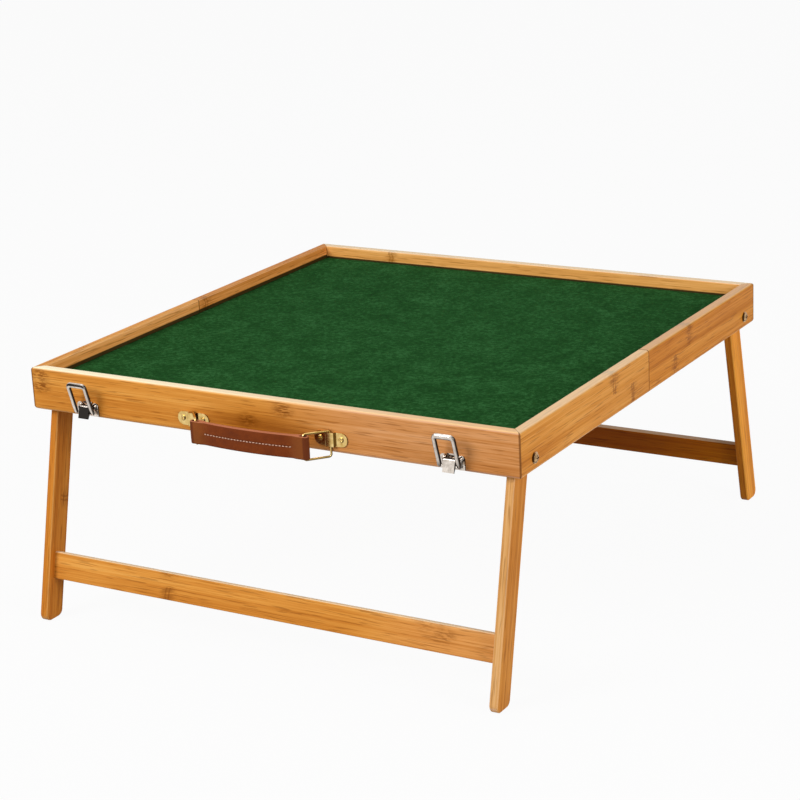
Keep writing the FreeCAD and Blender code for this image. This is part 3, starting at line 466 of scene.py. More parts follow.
# Painted light and shade by piece: the way the tinted faces look, the tint, and where in X it starts and is
# full.
PAINTED_LIGHT_TINTS = {
    "front_end_rail": ("front", (0.95, 1.03, 2.2), -0.02, 0.14),
    "rear_end_rail": ("front", (1.50, 2.00, 4.4), -0.40, -0.30),
    "front_left_rail": ("right", (1.32, 1.40, 2.3), -0.40, -0.30),
    "rear_left_rail": ("right", (1.32, 1.36, 2.2), -0.40, -0.30),
    "front_stretcher": ("front", (1.12, 1.24, 2.2), 0.10, 0.24),
    "rear_stretcher": ("front", (1.70, 2.05, 1.10), 0.12, 0.28),
    "front_right_leg": ("front", (1.04, 1.33, 2.9), 0.0, 0.2),
    "rear_right_leg": ("right", (1.52, 1.80, 1.40), 0.0, 0.2),
}
DARK_AREAS = {"front_end_rail": (-0.005, 0.250, 0.105, 0.026, 0.42)}


def bamboo(name, along, seed, rings, meet, lean=0.0):
    """The bamboo of one piece, with the marks that the tables give it."""
    graph = Bamboo(name, along, seed, meet, PAINTED_SHADE_TONES.get(name, PLAIN_TONE), lean)
    knot = graph.knots(rings, PATCHES.get(name, ()))
    colour = graph.mix(knot, graph.strips(DARK_AREAS.get(name)), graph.toned(KNOT))
    colour = graph.faces(colour, PAINTED_LIGHT_TINTS.get(name), TOP_HIGHLIGHTS.get(name))
    if along == "y" or name.endswith("end_rail"):
        colour = graph.joints(colour, parted=along == "y")
    graph.finish(colour, knot)
    return graph.material


BOARD = ((0.15, (0.50, 0.25, 0.085)), (0.55, (0.66, 0.37, 0.14)), (0.95, (0.76, 0.48, 0.21)))
BOARD_STRETCH = 0.02
BOARD_STREAK_SHARE = 0.75
BOARD_GLOSS = (0.62, 0.5)
SLAT_WIDTH = 0.022
SLAT_SHARE = 0.30


def plain_board():
    """The thin board of glued slats under the felt, seen from below."""
    graph = Graph("bamboo_board")
    x, y, z = graph.split(graph.place())
    drawn = graph.join(graph.math("MULTIPLY", x, BOARD_STRETCH), y, z)
    streaks = graph.noise(drawn, scale=160.0, detail=4.0, roughness=0.6)
    slat = graph.math("SNAP", y, SLAT_WIDTH)
    slats = graph.noise(graph.join(0.0, slat, 0.0), scale=900.0, detail=0.0)
    tone = graph.math("MULTIPLY_ADD", slats, SLAT_SHARE,
                      graph.math("MULTIPLY", streaks, BOARD_STREAK_SHARE))
    colour = graph.ramp(tone, BOARD)
    graph.surface(Base_Color=colour, Roughness=graph.step(streaks, *GLOSS_RANGE, *BOARD_GLOSS))
    graph.bump(streaks, strength=0.25, distance=0.0004)
    return graph.material


FELT = ((0.55, (0.0030, 0.024, 0.0038)), (0.80, (0.0090, 0.056, 0.0100)), (1.02, (0.0330, 0.130, 0.0380)))
BRUSHED_SHARE = 0.36
CLUMP_SHARE = 0.62
FUZZ_SHARE = 0.62
CLUMP_HEIGHT = 0.6
FELT_SHADOW_RANGE = (0.0006, 0.0030)
FELT_SHADOW_SHARE = 0.75
SHEEN_TINT = (0.25, 0.6, 0.3, 1.0)


def felt_cloth():
    """Short-napped dark green felt with brushed patches, fine fuzz and a painted shadow along the rails."""
    graph = Graph("green_felt")
    spot = graph.place()
    brushed = graph.noise(spot, scale=26.0, detail=4.0, roughness=0.6, distortion=0.6)
    clumps = graph.noise(spot, scale=230.0, detail=3.0, roughness=0.6)
    fuzz = graph.noise(spot, scale=1500.0, detail=2.0, roughness=0.6)
    tone = graph.math("MULTIPLY_ADD", brushed, BRUSHED_SHARE, graph.math("MULTIPLY", clumps, CLUMP_SHARE))
    tone = graph.math("MULTIPLY_ADD", fuzz, FUZZ_SHARE, tone)
    colour = graph.ramp(tone, FELT)
    x, y, _ = graph.split(spot)
    # Painted shadow: the felt goes dark close to the rails.
    side = graph.math("SUBTRACT", HALF_WIDTH - RAIL_THICK, graph.size(x))
    end = graph.math("SUBTRACT", HALF_DEPTH - RAIL_THICK, graph.size(y))
    rim = graph.fade(graph.math("MINIMUM", side, end), *FELT_SHADOW_RANGE, FELT_SHADOW_SHARE)
    colour = graph.mix(rim, colour, PAINTED_SHADOW)
    graph.surface(Base_Color=colour, Roughness=0.95, Sheen_Weight=0.02, Sheen_Roughness=0.6,
                  Specular_IOR_Level=0.02, Sheen_Tint=SHEEN_TINT)
    relief = graph.math("MULTIPLY_ADD", clumps, CLUMP_HEIGHT, fuzz)
    graph.bump(relief, strength=0.7, distance=0.0006)
    return graph.material


# The strap and its stitches, from the strap's CAD sizes.
STRAP_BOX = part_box("handle_strap")
STRAP_LOW, STRAP_HIGH = (corner.z for corner in STRAP_BOX)
STRAP_MIDDLE = (STRAP_LOW + STRAP_HIGH) / 2
STRAP_HALF = (STRAP_HIGH - STRAP_LOW) / 2
STRAP_Y = (STRAP_BOX[0].y + STRAP_BOX[1].y) / 2
STRAP_END = STRAP_BOX[1].x
STRAP_BULGE = (STRAP_BOX[1].y - STRAP_BOX[0].y) / 2
STRAP_THIN = 0.0023
STRAP_EDGE = 0.0008
STRAP_WALL = 0.0020
STRAP_CROWN = 0.0002
STRAP_ROLL = 0.0685
SLOT_HALF = 0.0018
SLOT_LENGTH = 0.0088
SLOT_OUT = STRAP_END - STRAP_WALL
SLOT_IN = SLOT_OUT - SLOT_LENGTH
NECK = SLOT_IN - STRAP_WALL
SWELL_LENGTH = 0.0065
WAIST = NECK - SWELL_LENGTH
BOW = 0.0042
STITCH_PITCH = 0.0038
STITCH_LENGTH = 0.0021
STITCH_RADIUS = 0.00055
STITCH_END = 0.0520
STITCH_SLANT = 0.00022

# Leather: colours, and place and share of its paler ends, its rolls and edges (painted shade and
# highlight), and its groove.
LEATHER = ((0.20, (0.086, 0.015, 0.0018)), (0.50, (0.148, 0.028, 0.0032)), (0.80, (0.215, 0.046, 0.0060)))
LEATHER_END = (0.250, 0.080, 0.016)
LEATHER_ROLL_SHADE = (0.080, 0.013, 0.003)
LEATHER_TOP_HIGHLIGHT = (0.540, 0.195, 0.100)
LEATHER_UNDER_SHADE = (0.060, 0.014, 0.003)
LEATHER_GROOVE = (0.055, 0.012, 0.003)
END_RANGE, END_SHARE = (0.045, 0.064), 0.45
ROLL_SHADE_RANGE, ROLL_SHADE_SHARE = (STRAP_ROLL - 0.0022, STRAP_ROLL), 0.7
TOP_EDGE_HIGHLIGHT_RANGE, TOP_EDGE_HIGHLIGHT_SHARE = (STRAP_HALF - 0.0008, STRAP_HALF - 0.0001), 0.65
LOW_EDGE_SHADE_RANGE, LOW_EDGE_SHADE_SHARE = (0.0004 - STRAP_HALF, 0.0018 - STRAP_HALF), 0.6
GROOVE_RANGE, GROOVE_SHARE = (0.0005, 0.0013), 0.65
GROOVE_END_RANGE = (STITCH_END, STITCH_END + 0.003)
GROOVE_HEIGHT = -2.0
PEBBLE_SCALE = 900.0
PEBBLE_SHARE = 0.20
LEATHER_CLOUD_SHARE = 0.75
LEATHER_CLOUD_RANGE = (0.3, 0.7)
LEATHER_GLOSS = (0.46, 0.62)


def strap_leather():
    """Red-brown leather with a fine pebble, paler ends, a pressed line under the stitches, and painted
    highlight and shade at its rolls and edges.
    """
    graph = Graph("strap_leather")
    spot = graph.place()
    x, _, z = graph.split(spot)
    pebble = graph.add("ShaderNodeTexVoronoi", feature="F1")
    graph.feed(pebble.inputs["Vector"], spot)
    pebble.inputs["Scale"].default_value = PEBBLE_SCALE
    grain = pebble.outputs["Distance"]
    cloud = graph.noise(spot, scale=70.0, detail=4.0, roughness=0.6)
    tone = graph.math("MULTIPLY_ADD", grain, PEBBLE_SHARE,
                      graph.math("MULTIPLY", cloud, LEATHER_CLOUD_SHARE))
    colour = graph.ramp(tone, LEATHER)
    out = graph.size(x)
    height = graph.math("SUBTRACT", z, STRAP_MIDDLE)
    groove = graph.math("MULTIPLY", graph.fade(graph.size(height), *GROOVE_RANGE),
                        graph.fade(out, *GROOVE_END_RANGE))
    colour = graph.mix(graph.step(out, *END_RANGE, 0.0, END_SHARE), colour, LEATHER_END)
    # Painted shade on the rolled ends, painted highlight on the top edge and painted shade on the low edge.
    colour = graph.mix(graph.step(out, *ROLL_SHADE_RANGE, 0.0, ROLL_SHADE_SHARE), colour, LEATHER_ROLL_SHADE)
    colour = graph.mix(graph.step(height, *TOP_EDGE_HIGHLIGHT_RANGE, 0.0, TOP_EDGE_HIGHLIGHT_SHARE), colour, LEATHER_TOP_HIGHLIGHT)
    colour = graph.mix(graph.fade(height, *LOW_EDGE_SHADE_RANGE, LOW_EDGE_SHADE_SHARE), colour, LEATHER_UNDER_SHADE)
    colour = graph.mix(graph.math("MULTIPLY", groove, GROOVE_SHARE), colour, LEATHER_GROOVE)
    graph.surface(Base_Color=colour, Roughness=graph.step(cloud, *LEATHER_CLOUD_RANGE, *LEATHER_GLOSS),
                  Specular_IOR_Level=0.1)
    graph.bump(graph.math("MULTIPLY_ADD", groove, GROOVE_HEIGHT, grain), strength=0.35, distance=0.0004)
    return graph.material


THREAD = ((0.3, (0.46, 0.24, 0.15)), (0.7, (0.68, 0.44, 0.33)))
TWIST_SLANT = 1.2


def thread():
    """Pale waxed thread with a fine twist."""
    graph = Graph("waxed_thread")
    x, y, z = graph.split(graph.place())
    slanted = graph.math("ADD", x, graph.math("MULTIPLY", z, TWIST_SLANT))
    twist = graph.noise(graph.join(slanted, y, z), scale=2600.0, detail=1.0)
    graph.surface(Base_Color=graph.ramp(twist, THREAD), Roughness=0.6)
    graph.bump(twist, strength=0.4, distance=0.0001)
    return graph.material


# Each metal's dark and light tones, and the range of its roughness.
BRASS = ((0.540, 0.330, 0.080), (0.860, 0.640, 0.270), 0.12, 0.26)
NICKEL = ((0.480, 0.420, 0.365), (0.800, 0.720, 0.640), 0.10, 0.24)
# Steel's warm brown is partly a yellow zinc plate and partly a painted reflection of the wood around it.
STEEL = ((0.280, 0.150, 0.060), (0.740, 0.500, 0.260), 0.10, 0.24)
PLATE_SCALE = 220.0
PLATE_DARK, PLATE_LIGHT = 0.3, 0.7
MARKS_SCALE = 1980.0
MARKS_RANGE = (0.35, 0.75)


def flanks(share):
    """Painted shade and reflection on the faces that look sideways or down."""
    return (("side", 0.20, 0.80, share), ("under", 0.20, 0.80, share))


# Painted shade and reflection: which way the faces look, where it starts and is full, and what share of the
# dark is left.
BRASS_SHADES = flanks(0.28)
NICKEL_SHADES = flanks(0.06)
STEEL_SHADES = (("ahead", 0.30, 0.70, 0.25), ("under", 0.20, 0.60, 0.25))
# Painted reflection and shade: the left loop and lever look dark ahead, and both levers are dark on top.
LEFT_LOOP_SHADES = (("side", 0.32, 0.75, 0.10), ("ahead", 0.84, 0.90, 0.07))
LEVER_SHADES = {"left": (("over", 0.80, 0.92, 0.10), ("ahead", 0.955, 0.985, 0.07)),
                "right": (("over", 0.30, 0.60, 0.12),)}


def metal(name, plate, shades):
    """Plated metal: a little tone in the plate, fine handling marks in its gloss, and painted shade and
    reflection on faces.
    """
    dark, light, smooth, rough = plate
    graph = Graph(name)
    spot = graph.place()
    cloud = graph.noise(spot, PLATE_SCALE, detail=3.0, roughness=0.6)
    marks = graph.noise(spot, MARKS_SCALE, detail=2.0, roughness=0.6, distortion=1.5)
    colour = graph.ramp(cloud, ((PLATE_DARK, dark), (PLATE_LIGHT, light)))
    sideways, endways, upward = graph.split(graph.facing())
    ahead = graph.math("MULTIPLY_ADD", endways, -math.cos(LEVER_LEAN),
                       graph.math("MULTIPLY", upward, math.sin(LEVER_LEAN)))
    ways = {"side": graph.size(sideways), "ahead": ahead, "over": upward,
            "under": graph.math("MULTIPLY", upward, -1.0)}
    # Painted shade and reflection: faces that look one way are darkened.
    for way, start, full, share in shades:
        dull = tuple(part * share for part in dark)
        colour = graph.mix(graph.step(ways[way], start, full), colour, dull)
    graph.surface(Base_Color=colour, Metallic=1.0,
                  Roughness=graph.step(marks, *MARKS_RANGE, smooth, rough))
    graph.bump(marks, strength=0.05, distance=0.0002)
    return graph.material


def paint(material, *names):
    """Give CAD nodes a finished material."""
    for name in names:
        for item in nodes[name].material_slots:
            item.material = material


def dress_bamboo():
    """Put the finished bamboo on the rails, stretchers, legs and boards."""
    for seed, (name, rings) in enumerate(RAIL_RINGS.items(), start=RAIL_SEED):
        along = "y" if name.endswith(("left_rail", "right_rail")) else "x"
        meet = RAIL_SPLIT
        if name.endswith("stretcher"):
            low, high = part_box(name)
            meet = (low.z + high.z) / 2
        paint(bamboo(name, along, float(seed), rings, meet), name)
    for seed, (name, rings) in enumerate(LEG_RINGS.items(), start=LEG_SEED):
        lean = LEG_SPLAY if name.startswith("front") else -LEG_SPLAY
        low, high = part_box(name)
        middle = (low + high) / 2
        across = middle.y * math.cos(lean) - middle.z * math.sin(lean)
        paint(bamboo(name, "leg", float(seed), rings, across, lean), name)
    paint(plain_board(), "front_board", "rear_board")


def dress_metal():
    """Put the finished metals on the CAD nodes that stay, and give those that the scene's pieces use."""
    metals = {
        "brass": metal("polished_brass", BRASS, BRASS_SHADES),
        "nickel": metal("bright_nickel", NICKEL, NICKEL_SHADES),
        "steel": metal("zinc_steel", STEEL, STEEL_SHADES),
    }
    for part in frame["record"]["subparts"]:
        if part["material_slot"] in metals:
            paint(metals[part["material_slot"]], part["node"])
    # The levers and the left loop are copies of the nickel with their own painted shade and reflection.
    for side, shades in LEVER_SHADES.items():
        paint(metal(f"nickel_lever_{side}", NICKEL, (*NICKEL_SHADES, *shades)), f"latch_lever_{side}")
    metals["loop_right"] = metals["nickel"]
    metals["loop_left"] = metal("nickel_loop_left", NICKEL, LEFT_LOOP_SHADES)
    return metals


# Pieces

def new_piece(name, build, material, body, replaced=()):
    """A smooth mesh object filled by a builder, with its material, riding on a CAD body."""
    mesh = bpy.data.meshes.new(name)
    shape = bmesh.new()
    build(shape)
    bmesh.ops.recalc_face_normals(shape, faces=shape.faces)
    shape.to_mesh(mesh)
    shape.free()
    for face in mesh.polygons:
        face.use_smooth = True
    mesh.materials.append(material)
    piece = bpy.data.objects.new(name, mesh)
    bpy.context.scene.collection.objects.link(piece)
    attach(piece, body)
    if replaced:
        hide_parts(*replaced)
    return piece


def bridge(shape, first, second):
    """Faces between two closed rows of vertices."""
    for index in range(len(first)):
        after = (index + 1) % len(first)
        shape.faces.new((first[index], first[after], second[after], second[index]))


FELT_CELL = 0.006
FELT_SOFT_EDGE = 0.0022
FELT_SINK = 0.0009
FELT_BELOW_TOP = 0.00012
FELT_WAVE = 38.0
FELT_WAVE_SEED = 0.3
FELT_LIFT = 0.00010
FELT_FOOT = 0.0001
RIM_SHARES = (0.0, 0.12, 0.35, 0.65, 1.0)


def felt_places(start, stop):
    """Places from edge to edge of the felt, with close ones beside each edge for its rounding."""
    count = round((stop - start) / FELT_CELL)
    rim = [FELT_SOFT_EDGE * share for share in RIM_SHARES]
    inner = [start + (stop - start) * step / count for step in range(1, count)]
    return [start + item for item in rim] + inner + [stop - item for item in reversed(rim)]


def felt_piece(end, material):
    """A laid sheet of felt: slightly uneven, with soft cut edges that sink to the board."""
    low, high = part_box(f"{end}_felt")

    def height(x, y):
        inset = min(x - low.x, high.x - x, max(abs(low.y), abs(high.y)) - abs(y))
        edge = 1.0 - min(inset / FELT_SOFT_EDGE, 1.0)
        lift = noise.noise(Vector((x * FELT_WAVE, y * FELT_WAVE, FELT_WAVE_SEED))) * FELT_LIFT
        return high.z - FELT_BELOW_TOP + lift - FELT_SINK * (1 - math.sqrt(1 - edge ** 2))

    def build(shape):
        across = felt_places(low.x, high.x)
        rows = []
        for y in felt_places(low.y, high.y):
            rows.append([shape.verts.new((x, y, height(x, y))) for x in across])
        for first, second in zip(rows, rows[1:]):
            for index in range(len(first) - 1):
                shape.faces.new((first[index], first[index + 1], second[index + 1], second[index]))
        rim = rows[0] + [row[-1] for row in rows[1:-1]] + rows[-1][::-1] + [row[0] for row in rows[-2:0:-1]]
        feet = [shape.verts.new((corner.co.x, corner.co.y, low.z + FELT_FOOT)) for corner in rim]
        bridge(shape, rim, feet)
        shape.faces.new(feet)

    piece = new_piece(f"{end}_felt_sheet", build, material, f"{end}_half", [f"{end}_felt"])


STRAP_STEPS = 44
STRAP_END_STEPS = 14
SLOT_STEPS = 8
EDGE_STEPS = 6
BODY_SHARES = (0.85, 0.6, 0.3, 0.0)
SAME_HEIGHT = 1e-6


def strap_reach(x):
    """How far the strap's faces lie from its middle line, which is more at the folded ends."""
    share = min(max((abs(x) - WAIST) / (NECK - WAIST), 0.0), 1.0)
    swell = share * share * (3 - 2 * share)
    return STRAP_THIN + (STRAP_BULGE - STRAP_THIN) * swell


def strap_bow(x):
    """How far the strap's middle line bows out."""
    return BOW * (1 - min(abs(x) / NECK, 1.0) ** 2)


def strap_plan():
    """The strap's outline seen from above, and its two end slots, as closed rows of points."""
    half = []
    for step in range(STRAP_STEPS + 1):
        x = -NECK + 2 * NECK * step / STRAP_STEPS
        half.append((x, strap_reach(x)))
    for step in range(STRAP_END_STEPS + 1):
        angle = math.pi / 2 - math.pi * step / STRAP_END_STEPS
        half.append((STRAP_END - STRAP_BULGE * (1 - math.cos(angle)), STRAP_BULGE * math.sin(angle)))
    outline = half + [(-x, -y) for x, y in half]
    slots = []
    for sign in (-1, 1):
        slot = []
        for centre, start in ((SLOT_OUT - SLOT_HALF, -0.5), (SLOT_IN + SLOT_HALF, 0.5)):
            for step in range(SLOT_STEPS + 1):
                angle = math.pi * (start + step / SLOT_STEPS)
                slot.append((sign * (centre + SLOT_HALF * math.cos(angle)), SLOT_HALF * math.sin(angle)))
        slots.append(slot)
    return outline, slots


def shifted(loop, distance):
    """A closed row of points moved sideways by a distance, inwards for an anticlockwise row."""
    area = sum(a[0] * b[1] - b[0] * a[1] for a, b in zip(loop, loop[1:] + loop[:1]))
    way = 1.0 if area > 0 else -1.0
    moved = []
    for index, here in enumerate(loop):
        before, after = loop[index - 1], loop[(index + 1) % len(loop)]
        along = Vector((after[0] - before[0], after[1] - before[1]))
        if along.length > 0:
            along.normalize()
        moved.append((here[0] - way * along.y * distance, here[1] + way * along.x * distance))
    return moved


def strap_levels():
    """Heights from the strap's top to its bottom, and how far its plan is drawn in at each."""
    levels = []
    for step in reversed(range(EDGE_STEPS + 1)):
        angle = math.pi / 2 * step / EDGE_STEPS
        levels.append((STRAP_HALF - STRAP_EDGE * (1 - math.sin(angle)), STRAP_EDGE * (1 - math.cos(angle))))
    for share in BODY_SHARES:
        height = (STRAP_HALF - STRAP_EDGE) * share
        levels.append((height, -STRAP_CROWN * (1 - (height / STRAP_HALF) ** 2)))
    return levels + [(-height, inset) for height, inset in levels[-2::-1]]


def strap_piece(material):
    """The strap as a stack of its plan, drawn in at the rounded edges and crowned at mid-height."""
    outline, slots = strap_plan()

    def build(shape):
        def ring(loop, height):
            return [shape.verts.new((x, STRAP_Y + y - strap_bow(x), STRAP_MIDDLE + height))
                    for x, y in loop]

        for loop, sign in [(outline, 1)] + [(slot, -1) for slot in slots]:
            rings = [ring(shifted(loop, inset * sign), height) for height, inset in strap_levels()]
            for first, second in zip(rings, rings[1:]):
                bridge(shape, first, second)
        for height in (STRAP_HALF, -STRAP_HALF):
            rim = [edge for edge in shape.edges
                   if all(abs(corner.co.z - STRAP_MIDDLE - height) < SAME_HEIGHT for corner in edge.verts)]
            bmesh.ops.triangle_fill(shape, edges=rim, use_beauty=True)

    new_piece("handle_strap_leather", build, material, "handle_strap", ["handle_strap"])


def tube(shape, points, radii, normal, closed=False, sides=8, flats=None, rounding=1.0):
    """A tube along points in a plane, with a radius and a flatness across the plane at each of them.

    A rounding of 1 gives a round section, and a smaller one a flat-sided section with round edges.
    """
    def spread(part):
        return math.copysign(abs(part) ** rounding, part)

    flats = flats or [1.0] * len(points)
    turns = [2 * math.pi * step / sides for step in range(sides)]
    rings = []
    last = len(points) - 1
    for index, point in enumerate(points):
        before = points[index - 1] if closed or index else point
        after = points[(index + 1) % len(points)] if closed or index < last else point
        across = (after - before).normalized().cross(normal)
        rings.append([shape.verts.new(point + across * spread(math.cos(turn)) * radii[index]
                                      + normal * spread(math.sin(turn)) * radii[index] * flats[index])
                      for turn in turns])
    for first, second in zip(rings, rings[1:] + rings[:1] if closed else rings[1:]):
        bridge(shape, first, second)
    if not closed:
        shape.faces.new(rings[0])
        shape.faces.new(rings[-1])


RING_WIRE = 0.0012
RING_BEND = 0.0028
RING_BEND_STEPS = 6
RING_FACETS = 14


def ring_piece(side, material):
    """A ring of round wire with bent corners, in the plane of its CAD node."""
    node = f"handle_ring_{side}"
    low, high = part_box(node)
    sign = -1 if side == "left" else 1
    saddle = Vector((sign * (max(abs(low.x), abs(high.x)) - RING_WIRE), high.y - RING_WIRE, 0.0))
    strap = Vector((sign * (min(abs(low.x), abs(high.x)) + RING_WIRE), low.y + RING_WIRE, 0.0))
    reach = (strap - saddle).normalized()
    bottom, top = low.z + RING_WIRE, high.z - RING_WIRE
    corners = [(saddle, bottom, 1, 1, 180), (strap, bottom, -1, 1, 270), (strap, top, -1, -1, 0),
               (saddle, top, 1, -1, 90)]

    def build(shape):
        points = []
        for base, level, inward, upward, start in corners:
            centre = base + reach * RING_BEND * inward + UP * (level + RING_BEND * upward)
            for step in range(RING_BEND_STEPS + 1):
                angle = math.radians(start + 90 * step / RING_BEND_STEPS)
                points.append(centre + (reach * math.cos(angle) + UP * math.sin(angle)) * RING_BEND)
        tube(shape, points, [RING_WIRE] * len(points), reach.cross(UP), closed=True, sides=RING_FACETS)

    new_piece(f"{node}_wire", build, material, node, [node])


# The latch loop, from its CAD sizes.
LOOP_PIVOT_Y, LOOP_PIVOT_Z = -0.30713, 0.24086
LOOP_LEAN = math.radians(17.0)
LOOP_ARM_OUT = 0.0109
LOOP_TOP = 0.0350
LOOP_BEND = 0.0036
LOOP_BEND_STEPS = 8
LOOP_ARM_HALF, LOOP_TOP_HALF = 0.0024, 0.0030
LOOP_ARM_FLAT, LOOP_TOP_FLAT = 0.85, 0.74
LOOP_ARM_LEVELS = (0.0, 0.010, 0.022, LOOP_TOP - LOOP_BEND - 0.001)
LOOP_TIP = ((-0.00195, 0.0004), (-0.0017, 0.0010), (-0.0012, 0.0016), (-0.0005, 0.0019))
LOOP_ROUNDING = 0.85
LOOP_FACETS = 24
LOOP_PIN_IN, LOOP_PIN_RADIUS = 0.0054, 0.0010
LOOP_PIN_FACETS = 12


def loop_path():
    """The loop's middle line from one tip to the other: place across, level, half width and flatness."""
    arm = [*LOOP_TIP, *((level, LOOP_ARM_HALF) for level in LOOP_ARM_LEVELS)]
    half_path = [(LOOP_ARM_OUT, level, half, LOOP_ARM_FLAT) for level, half in arm]
    for step in range(LOOP_BEND_STEPS + 1):
        share = step / LOOP_BEND_STEPS
        angle = math.pi / 2 * share
        half_path.append((LOOP_ARM_OUT - LOOP_BEND * (1 - math.cos(angle)),
                          LOOP_TOP - LOOP_BEND * (1 - math.sin(angle)),
                          LOOP_ARM_HALF + (LOOP_TOP_HALF - LOOP_ARM_HALF) * share,
                          LOOP_ARM_FLAT + (LOOP_TOP_FLAT - LOOP_ARM_FLAT) * share))
    return half_path + [(-x, *rest) for x, *rest in reversed(half_path)]


def loop_piece(side, material):
    """A pressed loop with soft edges and a fuller top bar, and the two short pins it turns on."""
    node = f"latch_loop_{side}"
    low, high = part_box(node)
    across = Vector((1.0, 0.0, 0.0))
    rise = Vector((0.0, -math.sin(LOOP_LEAN), math.cos(LOOP_LEAN)))
    pivot = Vector(((low.x + high.x) / 2, LOOP_PIVOT_Y, LOOP_PIVOT_Z))

    def build(shape):
        places, levels, halves, flats = zip(*loop_path())
        points = [pivot + across * x + rise * level for x, level in zip(places, levels)]
        tube(shape, points, halves, across.cross(rise), sides=LOOP_FACETS, flats=flats,
             rounding=LOOP_ROUNDING)
        for sign in (-1, 1):
            ends = [pivot + across * sign * reach for reach in (LOOP_PIN_IN, LOOP_ARM_OUT)]
            tube(shape, ends, [LOOP_PIN_RADIUS] * 2, rise, sides=LOOP_PIN_FACETS)

    new_piece(f"{node}_pressing", build, material, node, [node])


STITCH_STEPS = 6
STITCH_RISE, STITCH_DIP = 0.75, 1.5
STITCH_TAPER = 0.35


def stitches_piece(material):
    """A row of saddle stitches along the middle of the strap's outer and inner faces."""
    count = round(2 * STITCH_END / STITCH_PITCH)

    def stitch(shape, face, middle, slant):
        points, radii = [], []
        for step in range(STITCH_STEPS + 1):
            share = step / STITCH_STEPS * 2 - 1
            x = middle + STITCH_LENGTH / 2 * share
            lift = STITCH_RADIUS * (STITCH_RISE - STITCH_DIP * share ** 4)
            out = face * (strap_reach(x) + STRAP_CROWN + lift)
            points.append(Vector((x, STRAP_Y - strap_bow(x) + out, STRAP_MIDDLE + slant * share)))
            radii.append(STITCH_RADIUS * (1.0 - STITCH_TAPER * share ** 2))
        tube(shape, points, radii, UP)

    def build(shape):
        for face in (-1, 1):
            for step in range(count + 1):
                middle = -STITCH_END + 2 * STITCH_END * step / count
                stitch(shape, face, middle, chance.uniform(-STITCH_SLANT, STITCH_SLANT))

    new_piece("handle_strap_stitches", build, material, "handle_strap")


# Stage, light and camera

FLOOR_REACH = 40.0
FLOOR_DROP = 0.0004
FLOOR_TONE = (0.50, 0.50, 0.50, 1.0)
FLOOR_GLOW_SHARE = 0.95
WORLD_LIGHT = 0.24

# Each lamp's place, size and power. All of them look at the same spot.
LAMPS = {
    "key": ((-1.5, -2.9, 2.3), 2.0, 118.0),
    "top": ((-0.3, 0.5, 3.0), 2.4, 16.0),
    "fill": ((3.2, -0.9, 1.4), 1.8, 76.0),
}
LAMP_TARGET = (0.0, 0.0, 0.2)

FRAME_PIXELS = 800
CAMERA_PIXELS = 2206.6
CAMERA_PLACE = (1.2390, -2.0723, 0.9553)
CAMERA_AZIMUTH, CAMERA_RISE, CAMERA_ROLL = (math.radians(angle) for angle in (31.142, 17.562, -2.854))
CAMERA_REACH = 200.0
SENSOR = 36.0


def seen_directly(tree):
    """1 for rays that show the background as it is: camera, glossy and transmission rays."""
    path = tree.nodes.new("ShaderNodeLightPath")
    total = path.outputs["Is Camera Ray"]
    for name in ("Is Glossy Ray", "Is Transmission Ray"):
        node = tree.nodes.new("ShaderNodeMath")
        node.operation = "MAXIMUM"
        tree.links.new(total, node.inputs[0])
        tree.links.new(path.outputs[name], node.inputs[1])
        total = node.outputs[0]
    return total


def floor_material():
    """Pale, shown as nearly white, with a soft shadow left in it."""
    material = bpy.data.materials.new("pale_floor")
    material.use_nodes = True
    tree = material.node_tree
    tree.nodes.clear()
    diffuse = tree.nodes.new("ShaderNodeBsdfDiffuse")
    diffuse.inputs["Color"].default_value = FLOOR_TONE
    glow = tree.nodes.new("ShaderNodeEmission")
    glow.inputs["Color"].default_value = WHITE
    share = tree.nodes.new("ShaderNodeMath")
    share.operation = "MULTIPLY"
    share.inputs[1].default_value = FLOOR_GLOW_SHARE
    tree.links.new(seen_directly(tree), share.inputs[0])
    mixed = tree.nodes.new("ShaderNodeMixShader")
    tree.links.new(share.outputs[0], mixed.inputs["Fac"])
    tree.links.new(diffuse.outputs["BSDF"], mixed.inputs[1])
    tree.links.new(glow.outputs["Emission"], mixed.inputs[2])
    output = tree.nodes.new("ShaderNodeOutputMaterial")
    tree.links.new(mixed.outputs["Shader"], output.inputs["Surface"])
    return material


def floor():
    """A wide floor just under the feet."""
    mesh = bpy.data.meshes.new("floor")
    corners = [(-FLOOR_REACH, -FLOOR_REACH), (FLOOR_REACH, -FLOOR_REACH), (FLOOR_REACH, FLOOR_REACH),
               (-FLOOR_REACH, FLOOR_REACH)]
    mesh.from_pydata([(x, y, -FLOOR_DROP) for x, y in corners], [], [(0, 1, 2, 3)])
    plane = bpy.data.objects.new("floor", mesh)
    bpy.context.scene.collection.objects.link(plane)
    mesh.materials.append(floor_material())


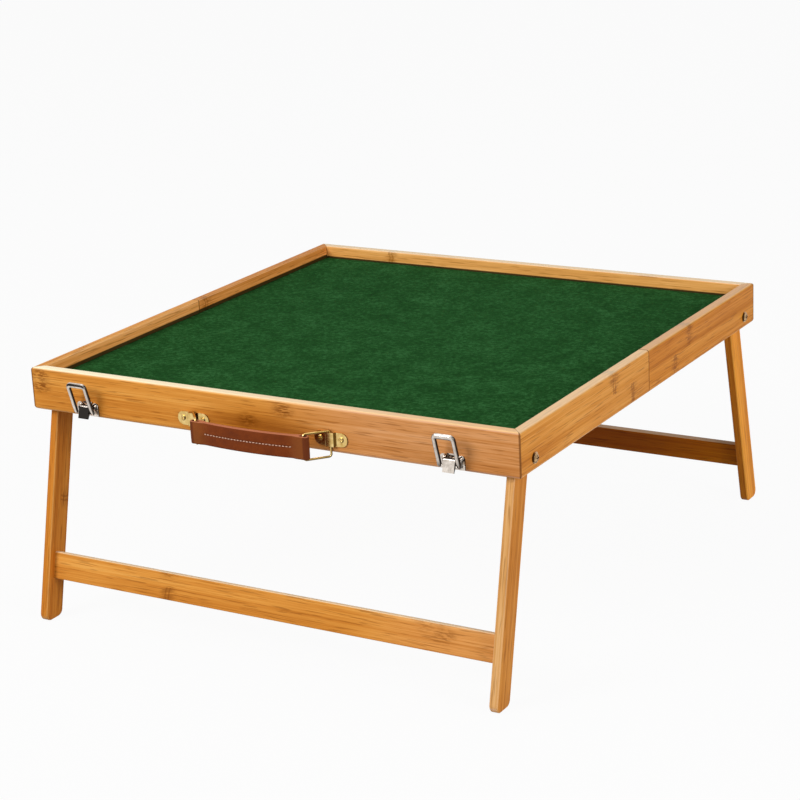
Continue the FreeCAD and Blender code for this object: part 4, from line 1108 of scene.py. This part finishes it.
def world():
    """White where it is seen, and a plain soft light on the object."""
    made = bpy.data.worlds.new("studio")
    bpy.context.scene.world = made
    made.use_nodes = True
    tree = made.node_tree
    back = tree.nodes["Background"]
    back.inputs["Color"].default_value = WHITE
    strength = tree.nodes.new("ShaderNodeMapRange")
    strength.inputs["To Min"].default_value = WORLD_LIGHT
    strength.inputs["To Max"].default_value = 1.0
    tree.links.new(seen_directly(tree), strength.inputs["Value"])
    tree.links.new(strength.outputs["Result"], back.inputs["Strength"])


def lamps():
    """Large round lamps for soft studio light."""
    for name, (place, size, power) in LAMPS.items():
        lamp = bpy.data.lights.new(name, "AREA")
        lamp.shape = "DISK"
        lamp.size = size
        lamp.energy = power
        holder = bpy.data.objects.new(name, lamp)
        holder.location = place
        aim = Vector(LAMP_TARGET) - Vector(place)
        holder.rotation_euler = aim.to_track_quat("-Z", "Y").to_euler()
        bpy.context.scene.collection.objects.link(holder)


def camera():
    """The photograph's viewpoint, fitted to the edges of the rails and legs."""
    lens = bpy.data.cameras.new("camera")
    lens.sensor_width = SENSOR
    lens.lens = CAMERA_PIXELS / FRAME_PIXELS * SENSOR
    lens.clip_end = CAMERA_REACH
    back = Vector((math.sin(CAMERA_AZIMUTH) * math.cos(CAMERA_RISE),
                   -math.cos(CAMERA_AZIMUTH) * math.cos(CAMERA_RISE), math.sin(CAMERA_RISE)))
    right = Vector((math.cos(CAMERA_AZIMUTH), math.sin(CAMERA_AZIMUTH), 0.0))
    up = back.cross(right)
    turned_right = right * math.cos(CAMERA_ROLL) + up * math.sin(CAMERA_ROLL)
    turned_up = up * math.cos(CAMERA_ROLL) - right * math.sin(CAMERA_ROLL)
    eye = bpy.data.objects.new("camera", lens)
    axes = Matrix((turned_right, turned_up, back)).transposed()
    eye.matrix_world = Matrix.Translation(CAMERA_PLACE) @ axes.to_4x4()
    bpy.context.scene.collection.objects.link(eye)
    bpy.context.scene.camera = eye


dress_bamboo()
plates = dress_metal()
cloth = felt_cloth()
for end in ENDS:
    felt_piece(end, cloth)
strap_piece(strap_leather())
stitches_piece(thread())
for side in SIDES:
    ring_piece(side, plates["brass"])
    loop_piece(side, plates[f"loop_{side}"])
floor()
world()
lamps()
camera()
bpy.context.scene.view_settings.view_transform = "Standard"
